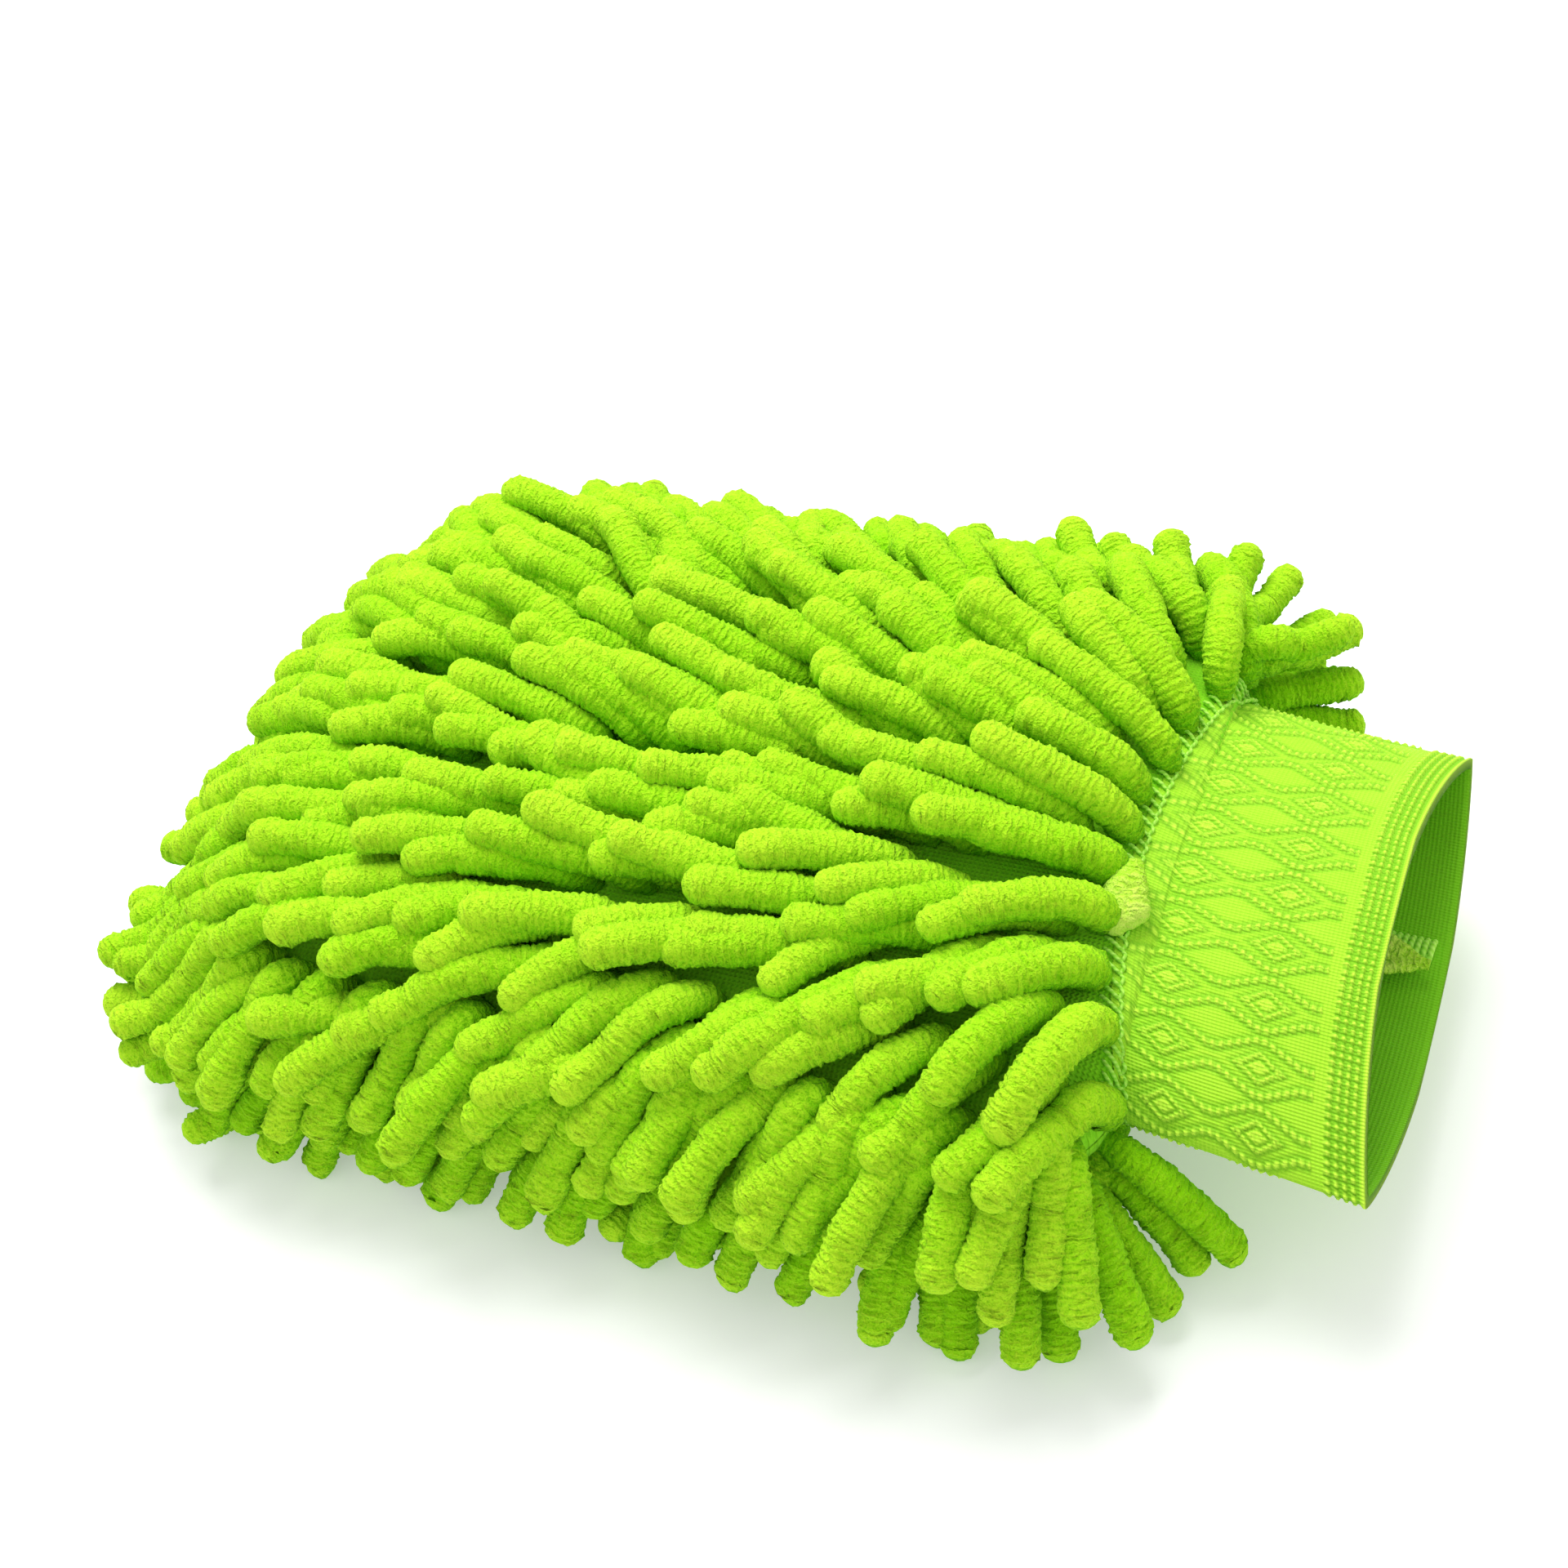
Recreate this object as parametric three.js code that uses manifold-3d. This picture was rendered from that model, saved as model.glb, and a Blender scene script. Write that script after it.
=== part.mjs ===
// A noodle wash mitt lying flat: a sewn bag with chenille noodles on both sides, a lining
// for the hand and an elastic knitted cuff. Millimetres, +Z up. The hand goes in from +X,
// the finger end is at -X, and the noodles lie combed towards the finger end.

import * as THREE from 'three';
import { mergeVertices } from 'three/addons/utils/BufferGeometryUtils.js';
import Module from 'manifold-3d';

// ---- Driving dimensions ----

// The sewn bag.
const BAG_LENGTH = 182; // finger end to cuff seam
const BAG_WIDTH = 132; // across the side seams
const BAG_HEIGHT = 30; // how far the two panels stand apart at the middle
const CORNER_LENGTH = 44; // the finger end rounds off over this length
const SHOULDER_LENGTH = 20; // the bag closes in to the neck over this length
const PANEL_WALL = 1.4; // knitted backing cloth with its stitching
const LINING_WALL = 0.8; // plain lining cloth

// The sewn edges, turned to the inside.
const SEAM_ALLOWANCE = 8; // width of the turned edge
const SEAM_THICKNESS = 1.6; // the layers of a turned edge, pressed together

// The cuff, a tube of wide jacquard elastic.
const CUFF_LENGTH = 44; // cuff seam to hem, along the middle
const CUFF_WIDTH = 101; // flat width at the hem
const NECK_WIDTH = 98; // flat width where bag and cuff are sewn together
const NECK_HEIGHT = 26; // the neck's opening, outside
const MOUTH_HEIGHT = 28; // the hem's opening, outside
const CUFF_WALL = 1.6; // thickness of the elastic
const HEM_LEAN = 4; // the lower lip reaches this much further than the upper one
const CLOSING_SEAM_OFFSET = 8; // the seam that closes the cuff lies this far off the middle
const CLOSING_SEAM_WIDTH = 5; // its width inside the cuff
const CLOSING_SEAM_HEIGHT = 2; // how far it stands up
const TOPSTITCH_WIDTH = 4; // the row of stitches around the cuff seam
const TOPSTITCH_HEIGHT = 1.2; // how far the stitches stand out
const TAIL = { length: 10, width: 5, height: 3 }; // frayed end of the closing seam
const TUFT = { length: 6, width: 12, height: 5 }; // loose fibre outside, on the cuff seam
const TUFT_OFFSET = 15; // it lies this far off the middle, on the near side

// The chenille noodles.
const NOODLE_DIAMETER = 8; // one noodle
const ROW_COUNT = 13; // rows of noodles on each panel
const NOODLE_PITCH = 17; // from one noodle's root to the next along a row
const PILE_HEIGHT = 16; // noodles above the upper panel
const PILE_STEP = 7; // how far each noodle's tip stands above the next one's root
const SQUASHED_PILE = 17; // noodles under the lower panel, pressed by the mitt's weight
const SQUASHED_STEP = 5; // the notch between two noodles under the mitt
const FRINGE_PITCH = 11; // from one edge noodle to the next around the bag
const FRINGE_REACH = 18; // how far the edge noodles stand out past the bag
const FRINGE_VARIATION = 2; // the longest edge noodle over the mean one
const FRINGE_DROOP = 14; // how far the upper edge noodles hang down at their tips
const UPPER_FRINGE_HEIGHT = 10; // thickness of the upper edge noodles' layer
const LOWER_FRINGE_HEIGHT = 16; // thickness of the layer that lies on the floor
const FRINGE_START = 0.4; // the edge noodles start this far from the cuff seam
const SHOULDER_RUN = 0.09; // share of the edge noodles that stand along each shoulder
const SIDE_RUN = 0.27; // share of them along each side
const FRINGE_WAVE = 2.4; // how fast their reach varies from one to the next, in radians

// Clearances.
const GAP = 0.3; // between sewn pieces that touch
const LAYER_GAP = 0.4; // between the backing cloth and the lining
const ROW_GAP = 0.6; // between two rows of noodles
const PILE_GAP = 0.9; // between the noodles and the backing cloth
const FRINGE_LIFT = 3; // the upper edge noodles start this far above the side seams
const NECK_CLEARANCE = 6; // bare cloth between the noodles and the cuff seam
const RIDGE_GAP = 0.6; // between the closing seam and the curved elastic under it
const RIDGE_INSET = 2; // the closing seam stops this far short of the lower lip

// How finely the curved solids are built.
const LOFT_SIDES = 20;
const LOFT_RINGS = 11;
const CUFF_RINGS = 4;
const CLOTH_STEPS = 12; // along the side of a row that lies on the cloth
const SPAN_STEP = 0.25; // how closely the ends of a row are looked for
const OUTLINE_STEPS = 22; // points of the bag's outline on each side
const OUTLINE_SAMPLES = 160; // places on it that distances are measured from
const SEAM_STEPS = 40; // around the turned edge
const TUFT_SIDES = 8;
const TUFT_RINGS = 5;

// ---- Values worked out from them ----

const MID_HEIGHT = SQUASHED_PILE + BAG_HEIGHT / 2; // height of the side seams
const LOWER_LIP = CUFF_LENGTH + HEM_LEAN / 2; // cuff seam to the hem's lower lip
const ROW_PITCH = BAG_WIDTH / ROW_COUNT;
const ROW_WIDTH = ROW_PITCH - ROW_GAP;

// A bag's section is a superellipse, |y/b|^SECTION_Y + |z/c|^SECTION_Z = 1.
const SECTION_Y = 2.6;
const SECTION_Z = 2;
// The hem's section comes to a point at both folds of the elastic.
const HEM_Y = 2;
const HEM_Z = 1.15;
// The finger end's outline seen from above, and its outline seen from the side.
const PLAN_POWER = 3.2;
const SIDE_POWER = 2;
const END_FULLNESS = 0.985; // the rounding stops short of a point by this share

const CLOTH = { color: 0x8fdc1e, roughness: 0.92, metalness: 0 };
const CHENILLE = { color: 0xa4f02a, roughness: 0.97, metalness: 0 };
const ELASTIC = { color: 0xa0e838, roughness: 0.85, metalness: 0 };
const THREAD = { color: 0xc2f06a, roughness: 0.9, metalness: 0 };

// ---- Solids ----

const manifoldLibrary = await Module();
manifoldLibrary.setup();

function solidOf(geometry) {
  const bare = geometry.clone();
  bare.deleteAttribute('normal');
  bare.deleteAttribute('uv');
  const merged = mergeVertices(bare, 1e-4);
  return new manifoldLibrary.Manifold(new manifoldLibrary.Mesh({
    numProp: 3,
    vertProperties: new Float32Array(merged.attributes.position.array),
    triVerts: new Uint32Array(merged.index.array),
  }));
}

function geometryOf(solid) {
  const mesh = solid.getMesh();
  const geometry = new THREE.BufferGeometry();
  geometry.setAttribute('position', new THREE.BufferAttribute(mesh.vertProperties, 3));
  geometry.setIndex(new THREE.BufferAttribute(mesh.triVerts, 1));
  geometry.computeVertexNormals();
  return geometry;
}

// A box from one corner to the opposite one, used to cut with.
function cutter(low, high) {
  const size = high.clone().sub(low);
  const box = new THREE.BoxGeometry(size.x, size.y, size.z);
  const middle = low.clone().add(high).multiplyScalar(0.5);
  box.translate(middle.x, middle.y, middle.z);
  return solidOf(box);
}

const FAR = 1000; // further than any part of the mitt

function below(height) {
  return cutter(new THREE.Vector3(-FAR, -FAR, -FAR), new THREE.Vector3(FAR, FAR, height));
}

function above(height) {
  return cutter(new THREE.Vector3(-FAR, -FAR, height), new THREE.Vector3(FAR, FAR, FAR));
}

function beyond(x) {
  return cutter(new THREE.Vector3(x, -FAR, -FAR), new THREE.Vector3(FAR, FAR, FAR));
}

function before(x) {
  return cutter(new THREE.Vector3(-FAR, -FAR, -FAR), new THREE.Vector3(x, FAR, FAR));
}

function signedPower(value, power) {
  return Math.sign(value) * Math.abs(value) ** power;
}

// A closed loft along X, made from a cylinder whose rings are moved to the given stations.
// station(t) gives x, half width, half height, the section's two powers and its lean.
function loft(rings, station) {
  const geometry = new THREE.CylinderGeometry(1, 1, 1, LOFT_SIDES, rings);
  const position = geometry.attributes.position;
  for (let i = 0; i < position.count; i += 1) {
    const t = 0.5 - position.getY(i);
    const across = position.getZ(i);
    const up = position.getX(i);
    const { x, halfWidth, halfHeight, powerY, powerZ, lean } = station(t);
    const y = halfWidth * signedPower(across, 2 / powerY);
    const z = halfHeight * signedPower(up, 2 / powerZ);
    const shift = halfHeight > 0 ? (-lean * z) / (2 * halfHeight) : 0;
    position.setXYZ(i, x + shift, y, MID_HEIGHT + z);
  }
  // The cylinder runs from t = 0 at its top, which becomes the finger end at -X, so its
  // faces are turned over to look outwards again.
  const index = geometry.index;
  for (let i = 0; i < index.count; i += 3) {
    const second = index.getX(i + 1);
    index.setX(i + 1, index.getX(i + 2));
    index.setX(i + 2, second);
  }
  return solidOf(geometry);
}

// ---- The bag's shape ----

// How far the finger end has rounded off at x: 0 on the straight, END_FULLNESS at the tip.
function endShare(x, margin) {
  const start = -BAG_LENGTH + CORNER_LENGTH;
  const length = CORNER_LENGTH - margin;
  return THREE.MathUtils.clamp((start - x) / length, 0, 1) * END_FULLNESS;
}

function roundedEnd(share, power) {
  return (1 - share ** power) ** (1 / power);
}

// The shoulder is a quarter of an ellipse between the side and the neck.
function shoulder(x, neckHalf, sideHalf) {
  const share = THREE.MathUtils.clamp((x + SHOULDER_LENGTH) / SHOULDER_LENGTH, 0, 1);
  return neckHalf + (sideHalf - neckHalf) * Math.sqrt(1 - share * share);
}

// The bag's half width and half height at x, taken in by a margin all round its outline and
// by a wall on its height.
function bagHalfWidth(x, margin = 0) {
  const side = shoulder(x, NECK_WIDTH / 2, BAG_WIDTH / 2) - margin;
  return side * roundedEnd(endShare(x, margin), PLAN_POWER);
}

function bagHalfHeight(x, wall = 0, margin = 0) {
  const side = shoulder(x, NECK_HEIGHT / 2, BAG_HEIGHT / 2) - wall;
  return side * roundedEnd(endShare(x, margin), SIDE_POWER);
}

// Height of the bag's surface above its side seams, at a place seen from above.
function bagRise(x, y) {
  const share = Math.min(Math.abs(y) / bagHalfWidth(x), 1);
  return bagHalfHeight(x) * (1 - share ** SECTION_Y) ** (1 / SECTION_Z);
}

// The bag taken in by a wall on its height and by a margin on its width and length. Its
// neck goes straight on for the given length.
function bagLoft(wall, margin, neckLength) {
  const tip = -BAG_LENGTH + margin;
  return loft(LOFT_RINGS + 1, (t) => {
    const ring = Math.round(t * (LOFT_RINGS + 1));
    const share = (1 - Math.cos((Math.PI * ring) / LOFT_RINGS)) / 2;
    const x = ring > LOFT_RINGS ? neckLength : THREE.MathUtils.lerp(tip, 0, share);
    return {
      x,
      halfWidth: bagHalfWidth(x, margin),
      halfHeight: bagHalfHeight(x, wall, margin),
      powerY: SECTION_Y,
      powerZ: SECTION_Z,
      lean: 0,
    };
  });
}

// ---- Cloth pieces ----

function panels() {
  const outside = bagLoft(0, 0, 1);
  const hollow = bagLoft(PANEL_WALL, PANEL_WALL, 2);
  const shell = outside.subtract(hollow).subtract(beyond(0));
  return {
    upper_panel: geometryOf(shell.subtract(below(MID_HEIGHT + GAP / 2))),
    lower_panel: geometryOf(shell.subtract(above(MID_HEIGHT - GAP / 2))),
  };
}

const LINING_WALL_INSET = PANEL_WALL + LAYER_GAP;
const LINING_EDGE_INSET = PANEL_WALL + 2 * LAYER_GAP + SEAM_ALLOWANCE + GAP;
const LINING_MOUTH = -SEAM_ALLOWANCE - 2 * GAP;

function linings() {
  const outside = bagLoft(LINING_WALL_INSET, LINING_EDGE_INSET, 1);
  const hollow = bagLoft(LINING_WALL_INSET + LINING_WALL, LINING_EDGE_INSET + LINING_WALL, 2);
  const shell = outside.subtract(hollow).subtract(beyond(LINING_MOUTH));
  return {
    upper_lining: geometryOf(shell.subtract(below(MID_HEIGHT + GAP / 2))),
    lower_lining: geometryOf(shell.subtract(above(MID_HEIGHT - GAP / 2))),
  };
}

// The outline of the bag seen from above, from the near neck round the finger end to the
// far neck.
function bagOutline(startX) {
  const near = [];
  for (let i = 0; i <= OUTLINE_STEPS; i += 1) {
    const share = (1 - Math.cos((Math.PI * i) / OUTLINE_STEPS)) / 2;
    const x = THREE.MathUtils.lerp(startX, -BAG_LENGTH, share);
    near.push(new THREE.Vector3(x, -bagHalfWidth(x), 0));
  }
  const far = near.map((point) => new THREE.Vector3(point.x, -point.y, 0)).reverse();
  return new THREE.CatmullRomCurve3([...near, ...far], false, 'centripetal');
}

// A place along the outline, moved outwards by a distance.
function outlinePoint(outline, share, out) {
  const point = outline.getPointAt(share);
  const along = outline.getTangentAt(share);
  const normal = new THREE.Vector2(-along.y, along.x);
  return {
    point: new THREE.Vector2(point.x, point.y).addScaledVector(normal, out),
    normal,
    along: new THREE.Vector2(along.x, along.y),
  };
}

// The turned edge of both panels, a flat U between them, inside the bag.
function edgeSeam() {
  const outline = bagOutline(-SEAM_ALLOWANCE - GAP);
  const outer = [];
  const inner = [];
  const edge = PANEL_WALL + GAP;
  for (let i = 0; i <= SEAM_STEPS; i += 1) {
    outer.push(outlinePoint(outline, i / SEAM_STEPS, -edge).point);
    inner.push(outlinePoint(outline, i / SEAM_STEPS, -edge - SEAM_ALLOWANCE).point);
  }
  const strip = new THREE.ExtrudeGeometry(new THREE.Shape([...outer, ...inner.reverse()]), {
    depth: SEAM_THICKNESS,
    bevelEnabled: false,
  });
  strip.translate(0, 0, MID_HEIGHT - SEAM_THICKNESS / 2);
  const room = bagLoft(PANEL_WALL + GAP, PANEL_WALL + GAP, 1);
  return geometryOf(solidOf(strip).intersect(room));
}

// ---- The cuff ----

// The cuff's outside, taken in by an inset. Its section changes from the bag's to the hem's.
function cuffStation(t, inset, startX, endX) {
  const x = THREE.MathUtils.lerp(startX, endX, t);
  const share = THREE.MathUtils.clamp(x / CUFF_LENGTH, 0, 1);
  const foldInset = inset * (1 + share); // cloth folded to a point takes more room
  return {
    x,
    halfWidth: THREE.MathUtils.lerp(NECK_WIDTH, CUFF_WIDTH, share) / 2 - foldInset,
    halfHeight: THREE.MathUtils.lerp(NECK_HEIGHT, MOUTH_HEIGHT, share) / 2 - inset,
    powerY: THREE.MathUtils.lerp(SECTION_Y, HEM_Y, share),
    powerZ: THREE.MathUtils.lerp(SECTION_Z, HEM_Z, share),
    lean: HEM_LEAN * share,
  };
}

function cuffLoft(inset, startX, endX) {
  return loft(CUFF_RINGS, (t) => cuffStation(t, inset, startX, endX));
}

function cuffBand() {
  const outside = cuffLoft(0, GAP, CUFF_LENGTH);
  const hollow = cuffLoft(CUFF_WALL, -1, CUFF_LENGTH + 1);
  return geometryOf(outside.subtract(hollow));
}

// The turned edge of bag and cuff, a ring just inside the neck.
function cuffJoiningSeam() {
  const outside = bagLoft(PANEL_WALL + GAP, PANEL_WALL + GAP, 1);
  const inset = PANEL_WALL + GAP + SEAM_THICKNESS;
  const hollow = bagLoft(inset, inset, 2);
  const ring = outside.subtract(hollow).subtract(beyond(0));
  return geometryOf(ring.subtract(before(-SEAM_ALLOWANCE)));
}

// The row of stitches that shows on the outside, around the cuff seam.
function cuffTopstitch() {
  const half = TOPSTITCH_WIDTH / 2;
  const ring = (out) => loft(CUFF_RINGS, (t) => {
    const station = cuffStation(t, 0, -half, half);
    station.halfWidth += out;
    station.halfHeight += out;
    return station;
  });
  const outside = ring(GAP + TOPSTITCH_HEIGHT);
  const clear = cuffLoft(-GAP, -half - 1, half + 1).add(bagLoft(-GAP, -GAP, 1));
  return geometryOf(outside.subtract(clear));
}

// Height of the cuff's lower inside face at a place along it.
function cuffFloor(x, y) {
  const station = cuffStation(x / LOWER_LIP, CUFF_WALL, 0, CUFF_LENGTH);
  const share = Math.abs(y) / station.halfWidth;
  return MID_HEIGHT - station.halfHeight * (1 - share ** station.powerY) ** (1 / station.powerZ);
}

// The seam that closes the elastic into a tube, a flat ridge inside the lower half.
function cuffClosingSeam() {
  const start = 3 * GAP;
  const end = LOWER_LIP - RIDGE_INSET;
  const edge = CLOSING_SEAM_OFFSET + CLOSING_SEAM_WIDTH / 2;
  const floor = (x) => cuffFloor(x, edge) + RIDGE_GAP;
  const ridge = new THREE.Shape();
  ridge.moveTo(start, floor(start));
  ridge.lineTo(LOWER_LIP / 2, floor(LOWER_LIP / 2));
  ridge.lineTo(end, floor(end));
  ridge.lineTo(end, floor(end) + CLOSING_SEAM_HEIGHT);
  ridge.lineTo(start, floor(start) + CLOSING_SEAM_HEIGHT);
  const geometry = new THREE.ExtrudeGeometry(ridge, {
    depth: CLOSING_SEAM_WIDTH,
    bevelEnabled: false,
  });
  geometry.rotateX(Math.PI / 2);
  geometry.translate(0, edge, 0);
  return geometry;
}

// A tuft of loose fibre at the end of a seam: a small rounded lump.
function tuft({ length, width, height }) {
  const geometry = new THREE.SphereGeometry(1, TUFT_SIDES, TUFT_RINGS);
  geometry.rotateZ(Math.PI / 2);
  geometry.scale(length / 2, width / 2, height / 2);
  return geometry;
}

// ---- The noodles ----

// Where a row's outer side still lies on the bag.
function rowSpan(y) {
  const edge = Math.abs(y) + ROW_WIDTH / 2;
  const fits = (x) => bagHalfWidth(x) >= edge;
  let right = -NECK_CLEARANCE;
  while (!fits(right)) right -= SPAN_STEP;
  let left = right;
  while (left - SPAN_STEP > -BAG_LENGTH && fits(left - SPAN_STEP)) left -= SPAN_STEP;
  return { left, right };
}

function rowGeometry(profile, y) {
  const geometry = new THREE.ExtrudeGeometry(new THREE.Shape(profile), {
    depth: ROW_WIDTH,
    bevelEnabled: false,
  });
  geometry.rotateX(Math.PI / 2);
  geometry.translate(0, y + ROW_WIDTH / 2, 0);
  return geometry;
}

// The side of a row that lies against the cloth, with its points closer together where the
// bag rounds off at its ends.
function clothSide(left, right, cloth) {
  const points = [];
  for (let i = 0; i <= CLOTH_STEPS; i += 1) {
    const share = (1 - Math.cos((Math.PI * i) / CLOTH_STEPS)) / 2;
    const x = THREE.MathUtils.lerp(left, right, share);
    points.push(new THREE.Vector2(x, cloth(x)));
  }
  return points;
}

// A row on the upper panel, seen from the side: each noodle leans over the next one.
function upperRow(y) {
  const { left, right } = rowSpan(y);
  const count = Math.round((right - left) / NOODLE_PITCH);
  const pitch = (right - left) / count;
  const inner = Math.max(Math.abs(y) - ROW_WIDTH / 2, 0);
  const cloth = (x) => MID_HEIGHT + bagRise(x, inner) + PILE_GAP;
  const profile = clothSide(left, right, cloth);
  for (let i = count; i > 0; i -= 1) {
    const root = left + i * pitch;
    const tip = root - pitch;
    profile.push(new THREE.Vector2(root, cloth(root) + PILE_HEIGHT - PILE_GAP - PILE_STEP));
    profile.push(new THREE.Vector2(tip + pitch / 4, cloth(tip) + PILE_HEIGHT - PILE_GAP));
    profile.push(new THREE.Vector2(tip + 1, cloth(tip) + PILE_HEIGHT - PILE_GAP - PILE_STEP / 3));
  }
  return rowGeometry(profile, y);
}

// A row under the lower panel: the noodles are pressed flat where they meet the floor.
function lowerRow(y) {
  const { left, right } = rowSpan(y);
  const count = Math.round((right - left) / NOODLE_PITCH);
  const pitch = (right - left) / count;
  const inner = Math.max(Math.abs(y) - ROW_WIDTH / 2, 0);
  const cloth = (x) => MID_HEIGHT - bagRise(x, inner) - PILE_GAP;
  const profile = [];
  for (let i = 0; i < count; i += 1) {
    const tip = left + i * pitch;
    profile.push(new THREE.Vector2(tip, SQUASHED_STEP));
    profile.push(new THREE.Vector2(tip + pitch / 8, 0));
    profile.push(new THREE.Vector2(tip + (pitch * 3) / 4, 0));
  }
  profile.push(new THREE.Vector2(right, SQUASHED_STEP));
  profile.push(...clothSide(left, right, cloth).reverse());
  return rowGeometry(profile, y);
}

// A run of edge noodles seen from above: a comb whose teeth point away from the bag.
function combShape(outline, first, last, total) {
  const shareOf = (i) => (i + 0.5) / total;
  const half = NOODLE_DIAMETER / 2;
  const length = outline.getLength();
  const back = [];
  const innerSteps = last - first + 1;
  const startShare = shareOf(first) - half / length;
  const endShare = shareOf(last) + half / length;
  for (let i = 0; i <= innerSteps; i += 1) {
    const share = THREE.MathUtils.lerp(startShare, endShare, i / innerSteps);
    back.push(outlinePoint(outline, share, 2 * GAP).point);
  }
  const teeth = [];
  for (let i = last; i >= first; i -= 1) {
    const reach = FRINGE_REACH + FRINGE_VARIATION * (Math.sin(FRINGE_WAVE * i) - 1);
    const { point, normal, along } = outlinePoint(outline, shareOf(i), 0);
    const at = (out, side) => point.clone().addScaledVector(normal, out)
      .addScaledVector(along, side);
    teeth.push(at(reach / 3, half));
    teeth.push(at(reach - half, half));
    teeth.push(at(reach, half / 3));
    teeth.push(at(reach, -half / 3));
    teeth.push(at(reach - half, -half));
    teeth.push(at(reach / 3, -half));
  }
  return new THREE.Shape([...back, ...teeth]);
}

// Distance of a place outside the bag from its side seams, as a share of the reach.
function shareOut(outlinePoints, x, y) {
  const distances = outlinePoints.map((point) => Math.hypot(point.x - x, point.y - y));
  return Math.min(...distances) / FRINGE_REACH;
}

function fringe(outline, run, bottom, thickness, droop) {
  const geometry = new THREE.ExtrudeGeometry(combShape(outline, run.first, run.last, run.total), {
    depth: thickness,
    bevelEnabled: false,
  });
  const outlinePoints = outline.getSpacedPoints(OUTLINE_SAMPLES);
  const position = geometry.attributes.position;
  for (let i = 0; i < position.count; i += 1) {
    const share = shareOut(outlinePoints, position.getX(i), position.getY(i));
    position.setZ(i, position.getZ(i) + bottom - droop * share);
  }
  return geometry;
}

// ---- The assembly ----

const mitt = new THREE.Group();
mitt.name = 'wash_mitt';

function add(name, geometry, finish, place = [0, 0, 0]) {
  const mesh = new THREE.Mesh(geometry, new THREE.MeshStandardMaterial(finish));
  mesh.name = name;
  mesh.position.set(...place);
  mitt.add(mesh);
}

function addCloth() {
  for (const [name, geometry] of Object.entries(panels())) add(name, geometry, CLOTH);
  for (const [name, geometry] of Object.entries(linings())) add(name, geometry, CLOTH);
  add('edge_seam', edgeSeam(), CLOTH);
}

// The frayed end of the closing seam lies beside it on the elastic, just inside the hem.
function tailPlace() {
  const x = LOWER_LIP - RIDGE_INSET - TAIL.length / 2;
  const ridgeSide = CLOSING_SEAM_OFFSET - CLOSING_SEAM_WIDTH / 2;
  const y = ridgeSide - RIDGE_GAP - TAIL.width / 2;
  const floor = cuffFloor(x - TAIL.length / 2, y + TAIL.width / 2);
  return [x, y, floor + RIDGE_GAP + TAIL.height / 2];
}

// The tuft outside sits on the row of stitches.
function tuftPlace() {
  const stitchTop = MID_HEIGHT + NECK_HEIGHT / 2 + GAP + TOPSTITCH_HEIGHT;
  return [0, -TUFT_OFFSET, stitchTop + 2 * GAP + TUFT.height / 2];
}

function addCuff() {
  add('cuff_band', cuffBand(), ELASTIC);
  add('cuff_joining_seam', cuffJoiningSeam(), CLOTH);
  add('cuff_topstitch', cuffTopstitch(), THREAD);
  add('cuff_closing_seam', cuffClosingSeam(), THREAD);
  add('closing_seam_tail', tuft(TAIL), THREAD, tailPlace());
  add('seam_end_tuft', tuft(TUFT), THREAD, tuftPlace());
}

function addRows() {
  for (let i = 0; i < ROW_COUNT; i += 1) {
    const y = (i + 0.5) * ROW_PITCH - BAG_WIDTH / 2;
    const number = String(i + 1).padStart(2, '0');
    add(`upper_row_${number}`, upperRow(y), CHENILLE);
    add(`lower_row_${number}`, lowerRow(y), CHENILLE);
  }
}

function addFringe() {
  const outline = bagOutline(-FRINGE_START);
  const total = Math.round(outline.getLength() / FRINGE_PITCH);
  const corner = Math.round(total * SHOULDER_RUN);
  const side = Math.round(total * SIDE_RUN);
  const runs = [
    ['near_shoulder', 0, corner - 1],
    ['near_side', corner, corner + side - 1],
    ['finger_end', corner + side, total - corner - side - 1],
    ['far_side', total - corner - side, total - corner - 1],
    ['far_shoulder', total - corner, total - 1],
  ];
  for (const [name, first, last] of runs) {
    const run = { first, last, total };
    add(`upper_fringe_${name}`,
      fringe(outline, run, MID_HEIGHT + FRINGE_LIFT, UPPER_FRINGE_HEIGHT, FRINGE_DROOP), CHENILLE);
    add(`lower_fringe_${name}`, fringe(outline, run, 0, LOWER_FRINGE_HEIGHT, 0), CHENILLE);
  }
}

addCloth();
addCuff();
addRows();
addFringe();

// The frame's origin is at the middle of the mitt's footprint, on the floor.
const extent = new THREE.Box3().setFromObject(mitt);
const middle = extent.getCenter(new THREE.Vector3());
mitt.position.set(-middle.x, -middle.y, -extent.min.z);

export default mitt;
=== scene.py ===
# %% [markdown]
# # A noodle wash mitt
#
# The mitt is a sewn bag for one hand. Chenille noodles hang on both of its faces, a lining
# keeps them off the hand, and an elastic knitted cuff closes on the wrist. The frame holds a
# plain solid for each of these. This lesson replaces every solid with cloth and yarn that
# take their places from the frame, so the sizes are settled once, in the CAD model.

# %% Load the frame
import math
import random

import bmesh
import bpy
import numpy as np
from mathutils import Matrix, Vector


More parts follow.
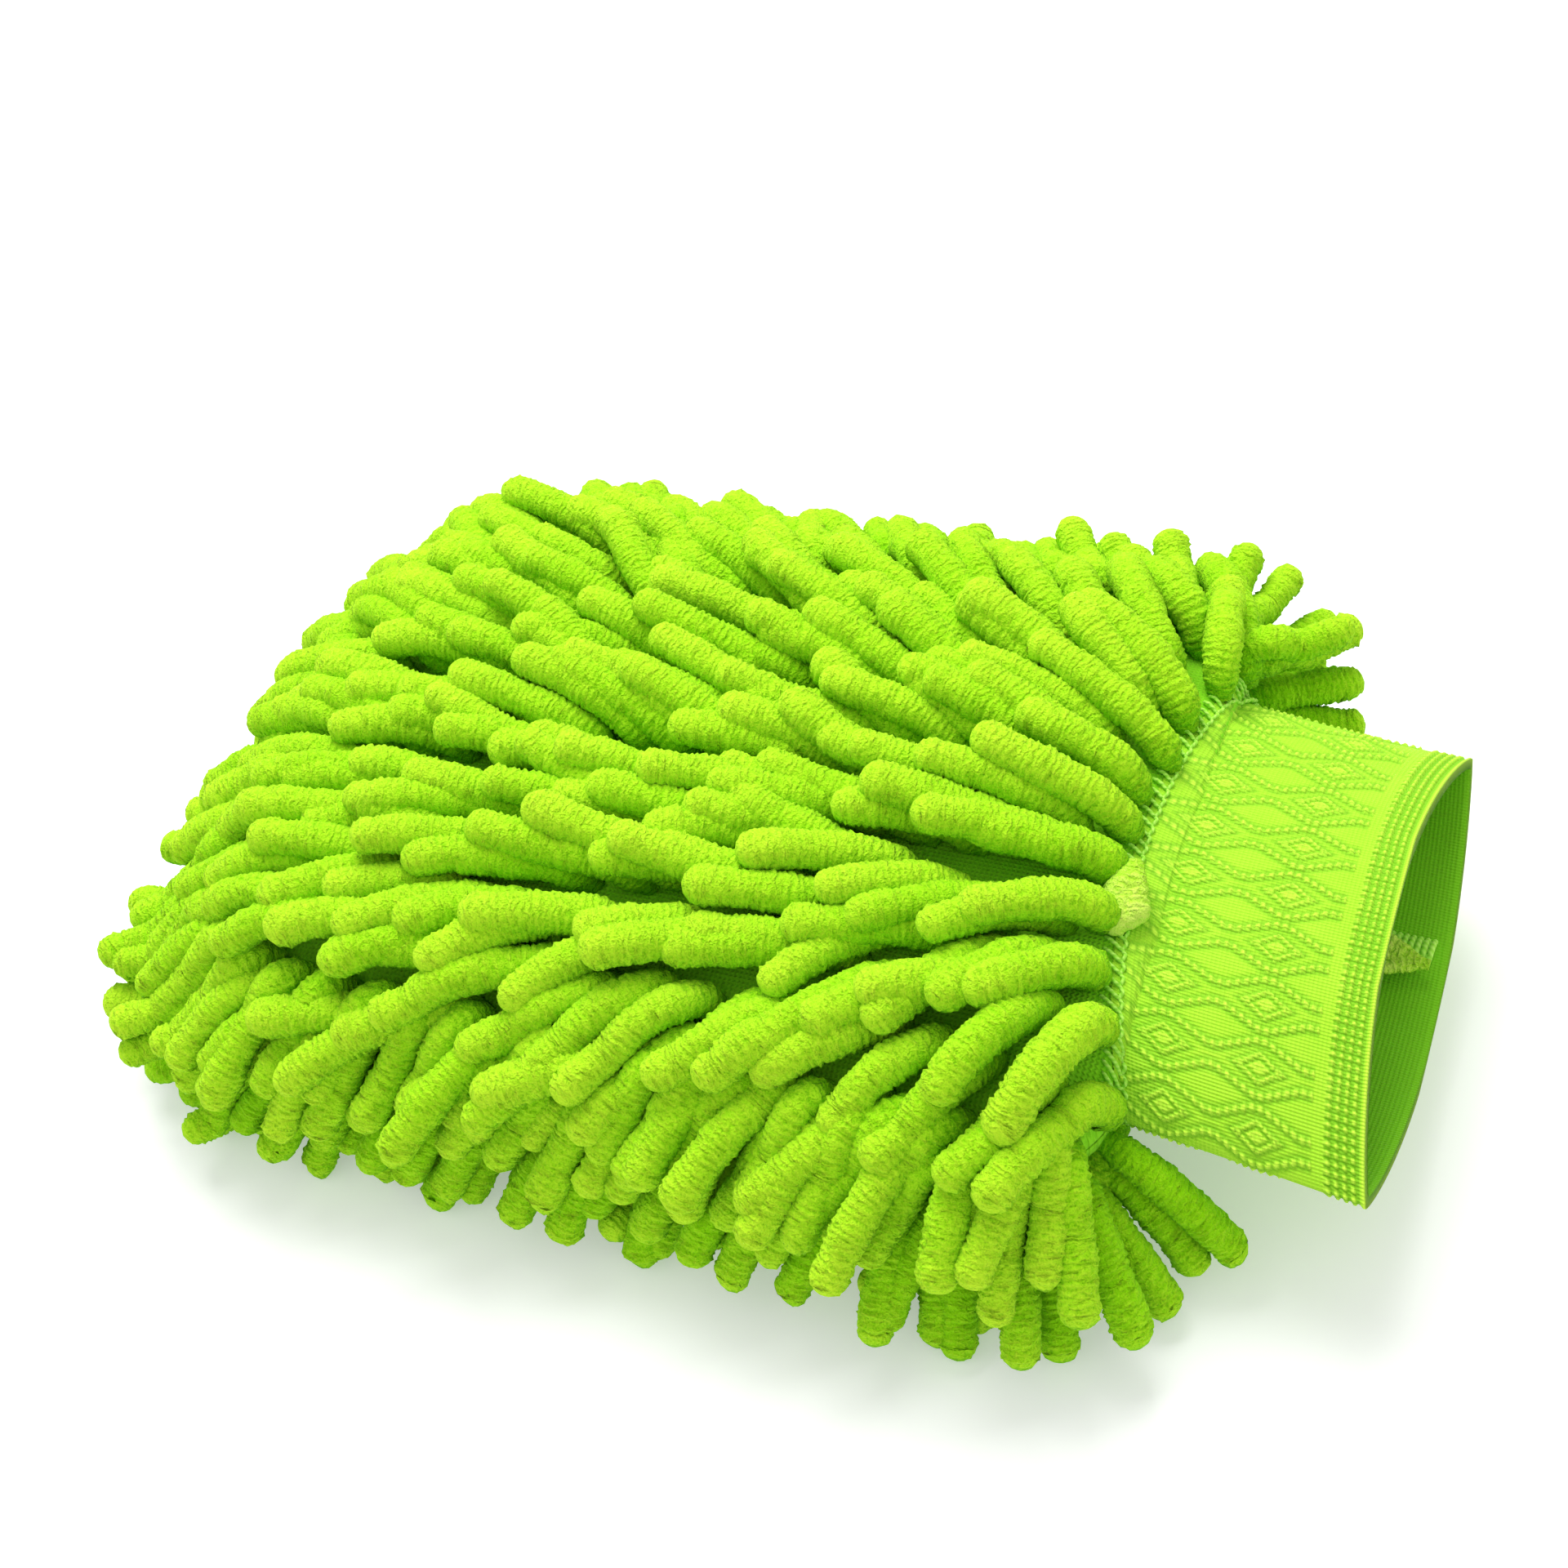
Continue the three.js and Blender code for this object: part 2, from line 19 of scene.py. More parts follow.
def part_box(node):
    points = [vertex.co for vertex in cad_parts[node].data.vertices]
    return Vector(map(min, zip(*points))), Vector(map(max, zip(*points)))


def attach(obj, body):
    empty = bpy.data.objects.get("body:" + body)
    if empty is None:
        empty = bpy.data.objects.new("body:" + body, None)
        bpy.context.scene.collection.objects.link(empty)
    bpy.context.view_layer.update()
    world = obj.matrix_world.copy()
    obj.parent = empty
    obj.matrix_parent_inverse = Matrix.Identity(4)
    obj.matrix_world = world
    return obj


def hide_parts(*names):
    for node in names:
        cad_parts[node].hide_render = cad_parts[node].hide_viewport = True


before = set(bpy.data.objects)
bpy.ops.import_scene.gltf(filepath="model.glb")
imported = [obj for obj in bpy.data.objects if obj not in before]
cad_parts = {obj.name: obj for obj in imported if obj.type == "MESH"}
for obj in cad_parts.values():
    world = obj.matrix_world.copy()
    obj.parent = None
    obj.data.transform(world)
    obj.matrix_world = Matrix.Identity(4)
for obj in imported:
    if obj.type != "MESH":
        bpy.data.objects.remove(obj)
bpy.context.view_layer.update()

# %% [markdown]
# ## Sizes
#
# Blender works in metres and a mitt is easier to think of in millimetres, so `MM` turns one
# into the other. What the frame can tell is read from its boxes: where the cuff seam is, how
# wide the bag is, how high its side seams run. Only the way the bag rounds off is repeated
# from the CAD model, as five numbers.

# %% Read the sizes
MM = 0.001

panel_low, panel_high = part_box("upper_panel")
cuff_low, cuff_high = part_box("cuff_band")
seam_x = panel_high.x
finger_x = panel_low.x
mid_z = (panel_low.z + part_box("lower_panel")[1].z) / 2
bag_half_width = panel_high.y
bag_half_height = panel_high.z - mid_z
hem_x = cuff_high.x
cuff_half_width = cuff_high.y
cuff_half_height = (cuff_high.z - cuff_low.z) / 2

NECK_HALF_WIDTH = 49 * MM
NECK_HALF_HEIGHT = 13 * MM
CORNER_LENGTH = 44 * MM
SHOULDER_LENGTH = 20 * MM
END_FULLNESS = 0.985
print("bag:", round((seam_x - finger_x) / MM), "mm long,", round(2 * bag_half_width / MM), "mm wide")

# %% [markdown]
# ## The bag's shape as a formula
#
# Cloth, lining and every noodle's root need to know where the bag's surface is. A formula
# answers that anywhere: a half width and a half height along the bag, and a rounded section
# across it. Numpy works on whole arrays, so one call can place hundreds of points. The elastic
# pulls on the cloth, so the upper half of the cuff seam bows towards the fingers.

# %% Describe the bag
PLAN_POWER = 3.2  # a higher power gives squarer corners
SIDE_POWER = 2
SECTION_POWER = 2.6
NECK_BOW = 8 * MM
BOW_START = 0.6  # the bow is full from this share of the neck's half height upwards


def rounded_end(x, power):
    share = np.clip((finger_x + CORNER_LENGTH - x) / CORNER_LENGTH, 0, 1) * END_FULLNESS
    return (1 - share**power) ** (1 / power)


def shoulder(x, neck, side):
    share = np.clip((x - seam_x) / SHOULDER_LENGTH + 1, 0, 1)
    return neck + (side - neck) * np.sqrt(1 - share**2)


def half_width_at(x):
    return shoulder(x, NECK_HALF_WIDTH, bag_half_width) * rounded_end(x, PLAN_POWER)


def half_height_at(x):
    return shoulder(x, NECK_HALF_HEIGHT, bag_half_height) * rounded_end(x, SIDE_POWER)


def rise_at(x, y):
    """How far the cloth stands above or below the side seams."""
    share = np.clip(np.abs(y) / half_width_at(x), 0, 1)
    return half_height_at(x) * np.sqrt(1 - share**SECTION_POWER)


def neck_bow(y, z):
    """How far the upper half of the cuff seam bows towards the finger end."""
    upper = np.clip(z / (BOW_START * NECK_HALF_HEIGHT), 0, 1)
    return NECK_BOW * upper * np.clip(1 - (y / NECK_HALF_WIDTH) ** 2, 0, 1)


middle_rise = rise_at((finger_x + seam_x) / 2, 0)
print("the cloth rises", round(float(middle_rise) / MM, 1), "mm over the side seams half way along")

# %% [markdown]
# ## The bag's outline
#
# Noodles are sewn at even steps along the side seams. Even steps in x would crowd them on the
# sides and leave gaps round the finger end, where the outline runs across x. So the outline is
# measured along itself, as a tape would do it, and cut at even distances. The same two helpers
# measure every noodle, thread and cuff section later on.

# %% Follow the bag's outline
OUTLINE_POINTS = 400


def distance_along(points):
    """How far along a line each of its points is."""
    steps = np.linalg.norm(np.diff(points, axis=0), axis=1)
    return np.concatenate([[0], np.cumsum(steps)])


def points_at(wanted, distance, points):
    """Places at wanted distances along a line of points."""
    return np.stack([np.interp(wanted, distance, column) for column in points.T], axis=1)


def bag_outline():
    """Points around the bag seen from above, from the near neck round to the far neck."""
    turn = np.linspace(0, math.pi, OUTLINE_POINTS // 2)
    x = seam_x + (finger_x - seam_x) * (1 - np.cos(turn)) / 2
    near = np.stack([x, -half_width_at(x)], axis=1)
    far = near[::-1] * [1, -1]
    points = np.concatenate([near, far])
    distance = distance_along(points)
    even = np.linspace(0, distance[-1], OUTLINE_POINTS)
    return points_at(even, distance, points), distance[-1]


outline, outline_length = bag_outline()
outline_along = np.gradient(outline, axis=0)
outline_along /= np.linalg.norm(outline_along, axis=1)[:, None]
outline_out = np.stack([-outline_along[:, 1], outline_along[:, 0]], axis=1)
if outline_out[0, 1] > 0:
    outline_out = -outline_out
print("outline:", round(outline_length / MM), "mm from neck to neck")


def distance_outside(x, y):
    """How far outside the bag's outline a place is, 0 inside it."""
    inside = (np.abs(y) <= half_width_at(x)) & (x >= finger_x) & (x <= seam_x)
    gaps = np.hypot(x[:, None] - outline[:, 0], y[:, None] - outline[:, 1]).min(axis=1)
    return np.where(inside, 0, gaps)


# %% [markdown]
# ## Shader maths that reads like maths
#
# A material is a graph of nodes. Linking it by hand hides the idea, so a `Wire` stands for one
# socket and Python's own operators add the Math nodes: `1 - mask` makes a Subtract node. A
# `Finish` is one material, and its `node` method adds any other node: settings first, because
# they can change which sockets a node has, then the values or wires of its sockets.

# %% Let operators add Math nodes


class Wire:
    """One output socket; sums on it add Math nodes."""

    def __init__(self, finish, socket):
        self.finish = finish
        self.socket = socket

    def math(self, operation, first, second=0.0):
        inputs = {0: first, 1: second}
        return self.finish.node("ShaderNodeMath", {"operation": operation}, inputs)

    def __add__(self, other):
        return self.math("ADD", self, other)

    def __sub__(self, other):
        return self.math("SUBTRACT", self, other)

    def __rsub__(self, other):
        return self.math("SUBTRACT", other, self)

    def __mul__(self, other):
        return self.math("MULTIPLY", self, other)

    def __truediv__(self, other):
        return self.math("DIVIDE", self, other)

    __radd__ = __add__
    __rmul__ = __mul__

    def sine(self):
        return self.math("SINE", self)

    def clamped(self):
        low = self.math("MAXIMUM", self, 0.0)
        return self.math("MINIMUM", low, 1.0)

    def ripple(self, pitch):
        """A sine wave that comes back after each pitch."""
        return (self * (2 * math.pi / pitch)).sine()


print("a wire knows:", "+ - * / sine clamped ripple")

# %% Gather the nodes of one material


class Finish:
    """A procedural material in the making."""

    def __init__(self, name):
        self.material = bpy.data.materials.new(name)
        self.material.use_nodes = True
        self.tree = self.material.node_tree
        self.shader = self.tree.nodes["Principled BSDF"]

    def node(self, kind, settings, inputs, output=0):
        made = self.tree.nodes.new(kind)
        for key, value in settings.items():
            setattr(made, key, value)
        for key, value in inputs.items():
            self.feed(made.inputs[key], value)
        return Wire(self, made.outputs[output])

    def feed(self, socket, value):
        if isinstance(value, Wire):
            self.tree.links.new(value.socket, socket)
        else:
            socket.default_value = value

    def surface(self, **inputs):
        """Feeds the shader: Base_Color=..., Roughness=... and so on."""
        for key, value in inputs.items():
            self.feed(self.shader.inputs[key.replace("_", " ")], value)

    def place(self):
        """Where a point is on the object, in metres."""
        return self.node("ShaderNodeTexCoord", {}, {}, "Object")

    def layout(self, name):
        """Two coordinates that the mesh keeps at each corner of its faces."""
        return self.node("ShaderNodeUVMap", {"uv_map": name}, {})

    def stored(self, name):
        """A number that the mesh keeps at each of its points."""
        return self.node("ShaderNodeAttribute", {"attribute_name": name}, {}, "Fac")

    def part(self, vector, axis):
        """One coordinate of a vector."""
        return self.node("ShaderNodeSeparateXYZ", {}, {0: vector}, axis)

    def noise(self, where, scale, detail=2.0):
        inputs = {"Vector": where, "Scale": scale, "Detail": detail}
        return self.node("ShaderNodeTexNoise", {}, inputs, "Fac")

    def blend(self, share, first, second):
        """Mixes two colours."""
        settings = {"data_type": "RGBA"}
        return self.node("ShaderNodeMix", settings, {0: share, 6: first, 7: second}, 2)

    def bump(self, height, depth):
        inputs = {"Height": height, "Distance": depth, "Strength": 1.0}
        return self.node("ShaderNodeBump", {}, inputs)


print("a finish can add:", "node place layout stored part noise blend bump")

# %% [markdown]
# ## The chenille
#
# A noodle is chenille: short microfibre pile caught between twisted core threads, so rings of
# tufts follow each other down the yarn. Its mesh keeps two coordinates in a UV layer, the way
# around and the way along in millimetres, and the finish draws the rings from them. Three more
# numbers at each point say where the tip is, how much painted shade a place gets at the root
# and on the flanks under the noodle, and how bright this noodle is, which on the lower edge
# noodles holds painted shade as well. The finish paints shade as a deep green into the valleys
# between the tufts; tips and tufts are paler. The pile also scatters light at its edges, which
# sheen does.

# %% Make the chenille finish
RING_PITCH = 1.25  # one ring of tufts, in millimetres
RING_WANDER = 14
WANDER_GRAIN = 420  # how often a noise comes back in a metre
CLUMP_GRAIN = 950
FUZZ_GRAIN = 2600
PILE_DEPTH = 0.55 * MM
PILE_SHADE_GREEN = (0.055, 0.30, 0.001, 1)
LIME = (0.30, 0.75, 0.003, 1)
PALE_LIME = (0.60, 0.97, 0.03, 1)
SHEEN_GREEN = (0.62, 1.0, 0.15, 1)


def chenille_finish(name, shade_green, middle, pale):
    finish = Finish(name)
    along = finish.part(finish.layout("yarn"), "Y")
    place = finish.place()
    wander = finish.noise(place, WANDER_GRAIN, 2)
    fuzz = finish.noise(place, FUZZ_GRAIN, 3)
    clumps = finish.noise(place, CLUMP_GRAIN, 2)
    ring = (along * (2 * math.pi / RING_PITCH) + wander * RING_WANDER).sine()
    height = ring * 0.22 + fuzz * 1.0 + clumps * 1.0
    # the depth number is painted shade at the root and on the lower flanks
    depth = finish.stored("depth")
    # Paler on tufts, clumps and tips and by noodle; darker by painted shade at the root, on the lower flanks
    # and on the lower edge noodles.
    light = 0.40 + ring * 0.10 + (fuzz - 0.5) * 1.3 + (clumps - 0.5) * 0.9
    light = light + finish.stored("tip") * 0.3 + finish.stored("tone_and_shade") * 0.3 - depth * 0.5
    colour = finish.blend(light.clamped(), middle, pale)
    # Painted shade: deep green in the valleys between the tufts, at the root and on the lower flanks.
    valley = ((0.44 - fuzz) * 1.5 + (0.45 - clumps) * 1.3 - ring * 0.12 + depth * 0.8).clamped()
    colour = finish.blend(valley * 0.8, colour, shade_green)
    finish.surface(Base_Color=colour, Roughness=0.95, Normal=finish.bump(height, PILE_DEPTH))
    finish.surface(Sheen_Weight=0.12, Sheen_Roughness=0.5, Sheen_Tint=SHEEN_GREEN)
    finish.surface(Specular_IOR_Level=0.1)
    return finish.material


chenille = chenille_finish("chenille", PILE_SHADE_GREEN, LIME, PALE_LIME)
print("finish:", chenille.name, "with", len(chenille.node_tree.nodes), "nodes")

# %% [markdown]
# ## From numbers to a mesh
#
# Hundreds of noodles of a thousand faces each would take Blender's own tools minutes. Filling
# a mesh from numpy arrays takes seconds. `mesh_piece` does that once for every piece in the
# lesson: it takes points and quads, makes the object, hangs it on the body that it rides on
# and hides the CAD node that it replaces. Nearly all the pieces are tubes of some kind, so
# the quads of a tube come from one place too.

# %% Fill meshes from arrays


def placed(name, data):
    """Puts a mesh, a lamp or a camera into the scene."""
    thing = bpy.data.objects.new(name, data)
    bpy.context.scene.collection.objects.link(thing)
    return thing


def mesh_piece(name, points, quads, material, replaces, slot):
    mesh = bpy.data.meshes.new(name)
    mesh.vertices.add(len(points))
    mesh.vertices.foreach_set("co", np.asarray(points, np.float32).ravel())
    mesh.loops.add(quads.size)
    mesh.loops.foreach_set("vertex_index", quads.astype(np.int32).ravel())
    mesh.polygons.add(len(quads))
    mesh.polygons.foreach_set("loop_start", np.arange(0, quads.size, 4, dtype=np.int32))
    mesh.polygons.foreach_set("use_smooth", np.full(len(quads), True))
    mesh.update(calc_edges=True)
    mesh.materials.append(material)
    piece = placed(name, mesh)
    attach(piece, "root")
    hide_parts(*replaces)
    return piece


def keep_number(piece, name, values):
    attribute = piece.data.attributes.new(name, "FLOAT", "POINT")
    attribute.data.foreach_set("value", np.asarray(values, np.float32))


def keep_layout(piece, name, corners):
    layer = piece.data.uv_layers.new(name=name)
    layer.data.foreach_set("uv", np.asarray(corners, np.float32).ravel())


# %% Number the faces of a tube


def tube_quads(rings, sides, offset=0):
    """Quads of a grid of points, ring by ring, that closes on itself around a tube."""
    ring, side = np.meshgrid(np.arange(rings - 1), np.arange(sides), indexing="ij")
    after = (side + 1) % sides
    here = offset + ring * sides
    quads = np.stack([here + side, here + after, here + sides + after, here + sides + side], axis=-1)
    return quads.reshape(-1, 4)


def tube_corners(rings, sides):
    """Each quad's corners as ring and side numbers that don't wrap around."""
    ring, side = np.meshgrid(np.arange(rings - 1), np.arange(sides), indexing="ij")
    rings_of = np.stack([ring, ring, ring + 1, ring + 1], axis=-1).reshape(-1)
    sides_of = np.stack([side, side + 1, side + 1, side], axis=-1).reshape(-1)
    return rings_of, sides_of


def end_caps(rings, sides):
    """Quads that close both ends of a tube, folded across its first and last rings."""
    caps = []
    last = (rings - 1) * sides
    for i in range(sides // 2 - 1):
        caps.append([i + 1, i, sides - 1 - i, sides - 2 - i])
        caps.append([last + i, last + i + 1, last + sides - 2 - i, last + sides - 1 - i])
    return np.array(caps)


print("3 rings with 8 sides:", len(tube_quads(3, 8)), "quads, and", len(end_caps(3, 8)), "in the ends")

# %% [markdown]
# ## One noodle
#
# A noodle is a tube on a curve. The curve is cut into rings, three to each ring of tufts, and
# a frame that never twists is carried down it, so that the faces stay square. The radius
# swells and shrinks a little, comes to a round end at the tip, and gets the rings of tufts
# and a fine roughness, because a fluffy outline has to be in the mesh and not only in the
# finish.

# %% Carry a frame along a path
TUBE_UP = [0.3, 0.2, 0.93]  # any direction that no path starts in


def carried_frames(path):
    """Two directions square to the path at each point, carried along it without twist."""
    along = np.gradient(path, axis=0)
    along /= np.linalg.norm(along, axis=1)[:, None]
    side = np.cross(along[0], TUBE_UP)
    side /= np.linalg.norm(side)
    sides = []
    for direction in along:
        side = side - direction * (side @ direction)
        side = side / np.linalg.norm(side)
        sides.append(side)
    sides = np.array(sides)
    return sides, np.cross(along, sides)


def corner_angles(sides):
    return np.arange(sides) * 2 * math.pi / sides


def spokes(path, sides):
    """Unit steps from each point of a path out to the corners of a tube around it."""
    first, second = carried_frames(path)
    turn = corner_angles(sides)
    return np.cos(turn)[None, :, None] * first[:, None] + np.sin(turn)[None, :, None] * second[:, None]


straight = np.array([[0.0, 0, 0], [1, 0, 0], [2, 0, 0]])
print("spokes of a straight path:", spokes(straight, 8).shape, "numbers")

# %% Build a noodle's tube
NOODLE_RADIUS = 3.75 * MM
SIDES = 14
RINGS_A_TUFT = 3
TUFT_DEPTH = 0.12 * MM
FLUFF = 0.16 * MM
ROOT_TAPER = 5 * MM
ROOT_THICKNESS = 0.62  # share of the radius that a noodle has where it leaves the cloth
SWELLS = ((0.035, 1.7 * MM), (0.03, 3.9 * MM))  # share of the radius, and over what length
SWIRL = 0.9  # how far the rings of tufts run ahead and back around the yarn, in radians
TUFT_SCATTER = 0.8
FULL_TURN = 6.3  # a little over a whole turn, in radians
RNG = np.random.default_rng(7)


def eased(share):
    """From 0 to 1 with a level start and a level end."""
    return share * share * (3 - 2 * share)


def resampled(path, length):
    """The path at even steps, cut off at the given length."""
    distance = distance_along(path)
    length = min(length, distance[-1])
    count = int(length / (RING_PITCH * MM / RINGS_A_TUFT))
    even = np.linspace(0, length, count)
    return points_at(even, distance, path), even


def noodle_radius(even, radius):
    """Thin at its root, round at its tip, and uneven between."""
    root = ROOT_THICKNESS + (1 - ROOT_THICKNESS) * eased(np.clip(even / ROOT_TAPER, 0, 1))
    from_tip = np.clip((even - (even[-1] - radius)) / radius, 0, 0.999)
    waves = 1
    for size, length in SWELLS:
        waves = waves + size * np.sin(even / length + RNG.uniform(0, FULL_TURN))
    return radius * root * waves * np.sqrt(1 - from_tip**2)


def noodle_tube(path, length, radius):
    """Points of one noodle, and how far along it each of its rings is."""
    path, even = resampled(path, length)
    rings = len(path)
    size = noodle_radius(even, radius)
    fullness = np.clip(size / radius, 0, 1)[:, None]
    phase = SWIRL * np.sin(corner_angles(SIDES) * 2 + RNG.uniform(0, FULL_TURN))
    phase = phase + RNG.normal(0, TUFT_SCATTER, (rings, SIDES))
    tufts = np.cos(2 * math.pi * np.arange(rings)[:, None] / RINGS_A_TUFT + phase)
    rough = TUFT_DEPTH * tufts + RNG.normal(0, FLUFF, (rings, SIDES))
    reach = size[:, None] + rough * fullness
    points = path[:, None] + spokes(path, SIDES) * reach[:, :, None]
    return points.reshape(-1, 3), even


print("a noodle is", 2 * NOODLE_RADIUS / MM, "mm thick and has", SIDES, "sides")

# %% [markdown]
# ## Many tubes in one piece
#
# The frame knows rows of noodles and not single ones, so the tubes of a row are joined into
# one piece. Each keeps its own coordinates for the rings of tufts. A second layout gives each
# tube a place of its own on one sheet, because a finish that is drawn by formulas is painted
# on such a sheet when the mitt is sent to other programs.

# %% Join tubes into one piece
FLOOR_CLEARANCE = 0.1 * MM
NOODLE_GIRTH = 25.0  # in millimetres
NOODLE_MARGIN = 0.04  # share of its place on the sheet that a tube leaves free on each side
# painted shade at the root fades out over this length
SHADED_ROOT = 9 * MM  # how much of a noodle its neighbours hide
ROOT_SHADE = 0.9
FLANK_SHADE = 0.8
FLANK_START = 0.15
FLATTEST = 0.1 * MM


def tube_layouts(even, sides, girth, margin, cell, cells):
    """The yarn's own coordinates, and a place on the sheet for baking, of one tube."""
    rings = len(even)
    ring, side = tube_corners(rings, sides)
    yarn = np.stack([side * girth / sides, even[ring] / MM], axis=1)
    used = 1 - 2 * margin
    u = (cell % cells + margin + used * ring / rings) / cells
    v = (cell // cells + margin + used * side / sides) / cells
    return yarn, np.stack([u, v], axis=1)


def tubes_piece(name, tubes, sides, girth, margin, material, nodes, slot):
    """Joins tubes, given as (points, distance along), and closes their ends."""
    quads, yarns, bakes = [], [], []
    cells = math.ceil(math.sqrt(len(tubes)))
    offset = 0
    for cell, (points, even) in enumerate(tubes):
        caps = end_caps(len(even), sides)
        quads.append(np.concatenate([tube_quads(len(even), sides), caps]) + offset)
        for kept, corners in zip((yarns, bakes), tube_layouts(even, sides, girth, margin, cell, cells)):
            kept.append(np.concatenate([corners, np.tile(corners[-1:], (caps.size, 1))]))
        offset += len(points)
    points = np.concatenate([points for points, even in tubes])
    points[:, 2] = np.maximum(points[:, 2], FLOOR_CLEARANCE)
    piece = mesh_piece(name, points, np.concatenate(quads), material, nodes, slot)
    keep_layout(piece, "yarn", np.concatenate(yarns))
    keep_layout(piece, "OFBake", np.concatenate(bakes))
    return piece


def painted_pile_shade(points, even):
    """Painted shade on the pile: 1 at the root, which the neighbours hide, and on the flanks under a noodle,
    and 0 on top.
    """
    height = points[:, 2].reshape(len(even), SIDES)
    middle = height.mean(axis=1)
    half = np.ptp(height, axis=1) / 2 + FLATTEST
    under = np.clip(-(height - middle[:, None]) / half[:, None] + FLANK_START, 0, 1)
    root = np.clip(1 - even / SHADED_ROOT, 0, 1)
    return np.clip(under * FLANK_SHADE + root[:, None] * ROOT_SHADE, 0, 1).ravel()


def tip_share(even):
    """0 on most of a noodle, growing to 1 over its last third."""
    return np.repeat(np.clip(even / even[-1] * 3 - 2, 0, 1), SIDES)


def noodle_piece(name, noodles, node, material=chenille, slot="chenille"):
    """Joins noodles, given as (path, length, radius, tone), into the piece for one node."""
    tubes = [noodle_tube(path, length, radius) for path, length, radius, tone_and_shade in noodles]
    piece = tubes_piece(name, tubes, SIDES, NOODLE_GIRTH, NOODLE_MARGIN, material, [node], slot)
    tones = [np.full(len(points), noodle[3]) for noodle, (points, even) in zip(noodles, tubes)]
    keep_number(piece, "tip", np.concatenate([tip_share(even) for points, even in tubes]))
    keep_number(piece, "depth", np.concatenate([painted_pile_shade(points, even) for points, even in tubes]))
    # each noodle's own tone, which on the lower edge noodles holds painted shade as well
    keep_number(piece, "tone_and_shade", np.concatenate(tones))
    return piece


print("lowest a noodle may reach:", FLOOR_CLEARANCE / MM, "mm over the floor")

# %% [markdown]
# ## How the pile lies
#
# A row of noodles is combed towards the finger end, and it fans out around the cuff and the
# sides. `comb_heading` says where a noodle points, seen from above. A noodle leaves the cloth
# steeply, bends over and lies on the next one, so its height over the cloth grows along it.
# Past the bag's edge nothing holds it up, so the height that it lies on falls away.

# %% Describe the pile
FAN_CENTRE = seam_x + 20 * MM
SIDE_FAN = 0.55
EDGE_FALL = 19 * MM
EDGE_REACH = 22 * MM
FALL_POWER = 1.4
FALL_LIMIT = 1.4  # the pile falls no further than this many reaches out
PATH_SPARE = 1.15  # a path is laid a little too long and cut off later
STEP = 0.8 * MM
SOFTENING = 4 * MM  # bumps in the ground shorter than this are bridged
BEND_LENGTH = 3.2 * MM
LIFT_FADE = 3.2  # a noodle stops rising over its neighbours after half this many lengths
LOWEST_MIDDLE = NOODLE_RADIUS * 0.85  # a noodle on the floor is pressed a little flat


def comb_heading(x, y):
    fan = np.array([x - FAN_CENTRE, y])
    fan = fan / np.linalg.norm(fan)
    edge = min(abs(y) / float(half_width_at(x)), 1)
    fan[1] += math.copysign(SIDE_FAN * edge**3, y)
    return math.atan2(fan[1], fan[0])


def upper_support(x, y):
    """The height that the upper noodles lie on."""
    outside = distance_outside(x, y)
    fall = EDGE_FALL * np.clip(outside / EDGE_REACH, 0, FALL_LIMIT) ** FALL_POWER
    return mid_z + rise_at(x, y) - fall


def softened(values, spread):
    """A running mean that keeps both ends."""
    width = int(spread / STEP)
    padded = np.concatenate([np.full(width, values[0]), values, np.full(width, values[-1])])
    kernel = np.hanning(2 * width + 3)[1:-1]
    return np.convolve(padded, kernel / kernel.sum(), mode="valid")


def plan_path(x, y, heading, curl, length):
    """The way a noodle goes, seen from above."""
    run = np.arange(0, length * PATH_SPARE, STEP)
    angle = heading + curl * run
    dx = np.cos(angle) * STEP
    dy = np.sin(angle) * STEP
    return run, x + np.cumsum(dx) - dx[0], y + np.cumsum(dy) - dy[0]


def laid_path(x, y, heading, curl, length, support, rise, slope):
    """A noodle that leaves the cloth steeply and then lies on its neighbours."""
    run, px, py = plan_path(x, y, heading, curl, length)
    ground = softened(support(px, py), SOFTENING)
    ground[:3] = support(px[:3], py[:3])
    lift = rise * (1 - np.exp(-run / BEND_LENGTH)) + slope * run * (1 - run / (LIFT_FADE * length))
    z = np.maximum(ground + lift, LOWEST_MIDDLE)
    return np.stack([px, py, z], axis=1)


middle_way = math.degrees(comb_heading(finger_x, 0))
print("in the middle the pile is combed towards", round(middle_way), "degrees, the finger end")

# %% [markdown]
# ## The upper rows
#
# Thirteen rows are sewn along the upper panel. The roots in a row stand about nine millimetres
# apart, closer than a noodle is long, so each covers most of the next one and only its end
# shows, like a shingle. No two noodles lie quite alike: a seeded random source turns, bends
# and lengthens each a little, and the whole row wanders from side to side. The first noodles
# of a row rise more, because the cloth dips to the cuff where they are sewn.

# %% Scatter things with a seeded source
dice = random.Random(21)
THICKNESS_RANGE = (0.93, 1.07)
TONE_RANGE = (-0.5, 0.5)
ROOT_JITTER = 1.4  # in millimetres
NECK_CLEARANCE = 1.0 * MM
END_CLEARANCE = 4 * MM
SIDE_CLEARANCE = 1 * MM


def either_way(most):
    """A random amount of either sign."""
    return dice.uniform(-most, most)


def row_roots(y, pitch, bowed):
    """Where the roots of one row stand, from the cuff to the finger end."""
    spots = []
    x = seam_x - NECK_CLEARANCE - float(neck_bow(y, bowed * NECK_HALF_HEIGHT))
    while x > finger_x + END_CLEARANCE:
        if abs(y) < float(half_width_at(x)) - SIDE_CLEARANCE:
            spots.append(x + either_way(ROOT_JITTER) * MM)
        x -= pitch
    return spots


print("roots stand up to", ROOT_JITTER, "mm off their places")

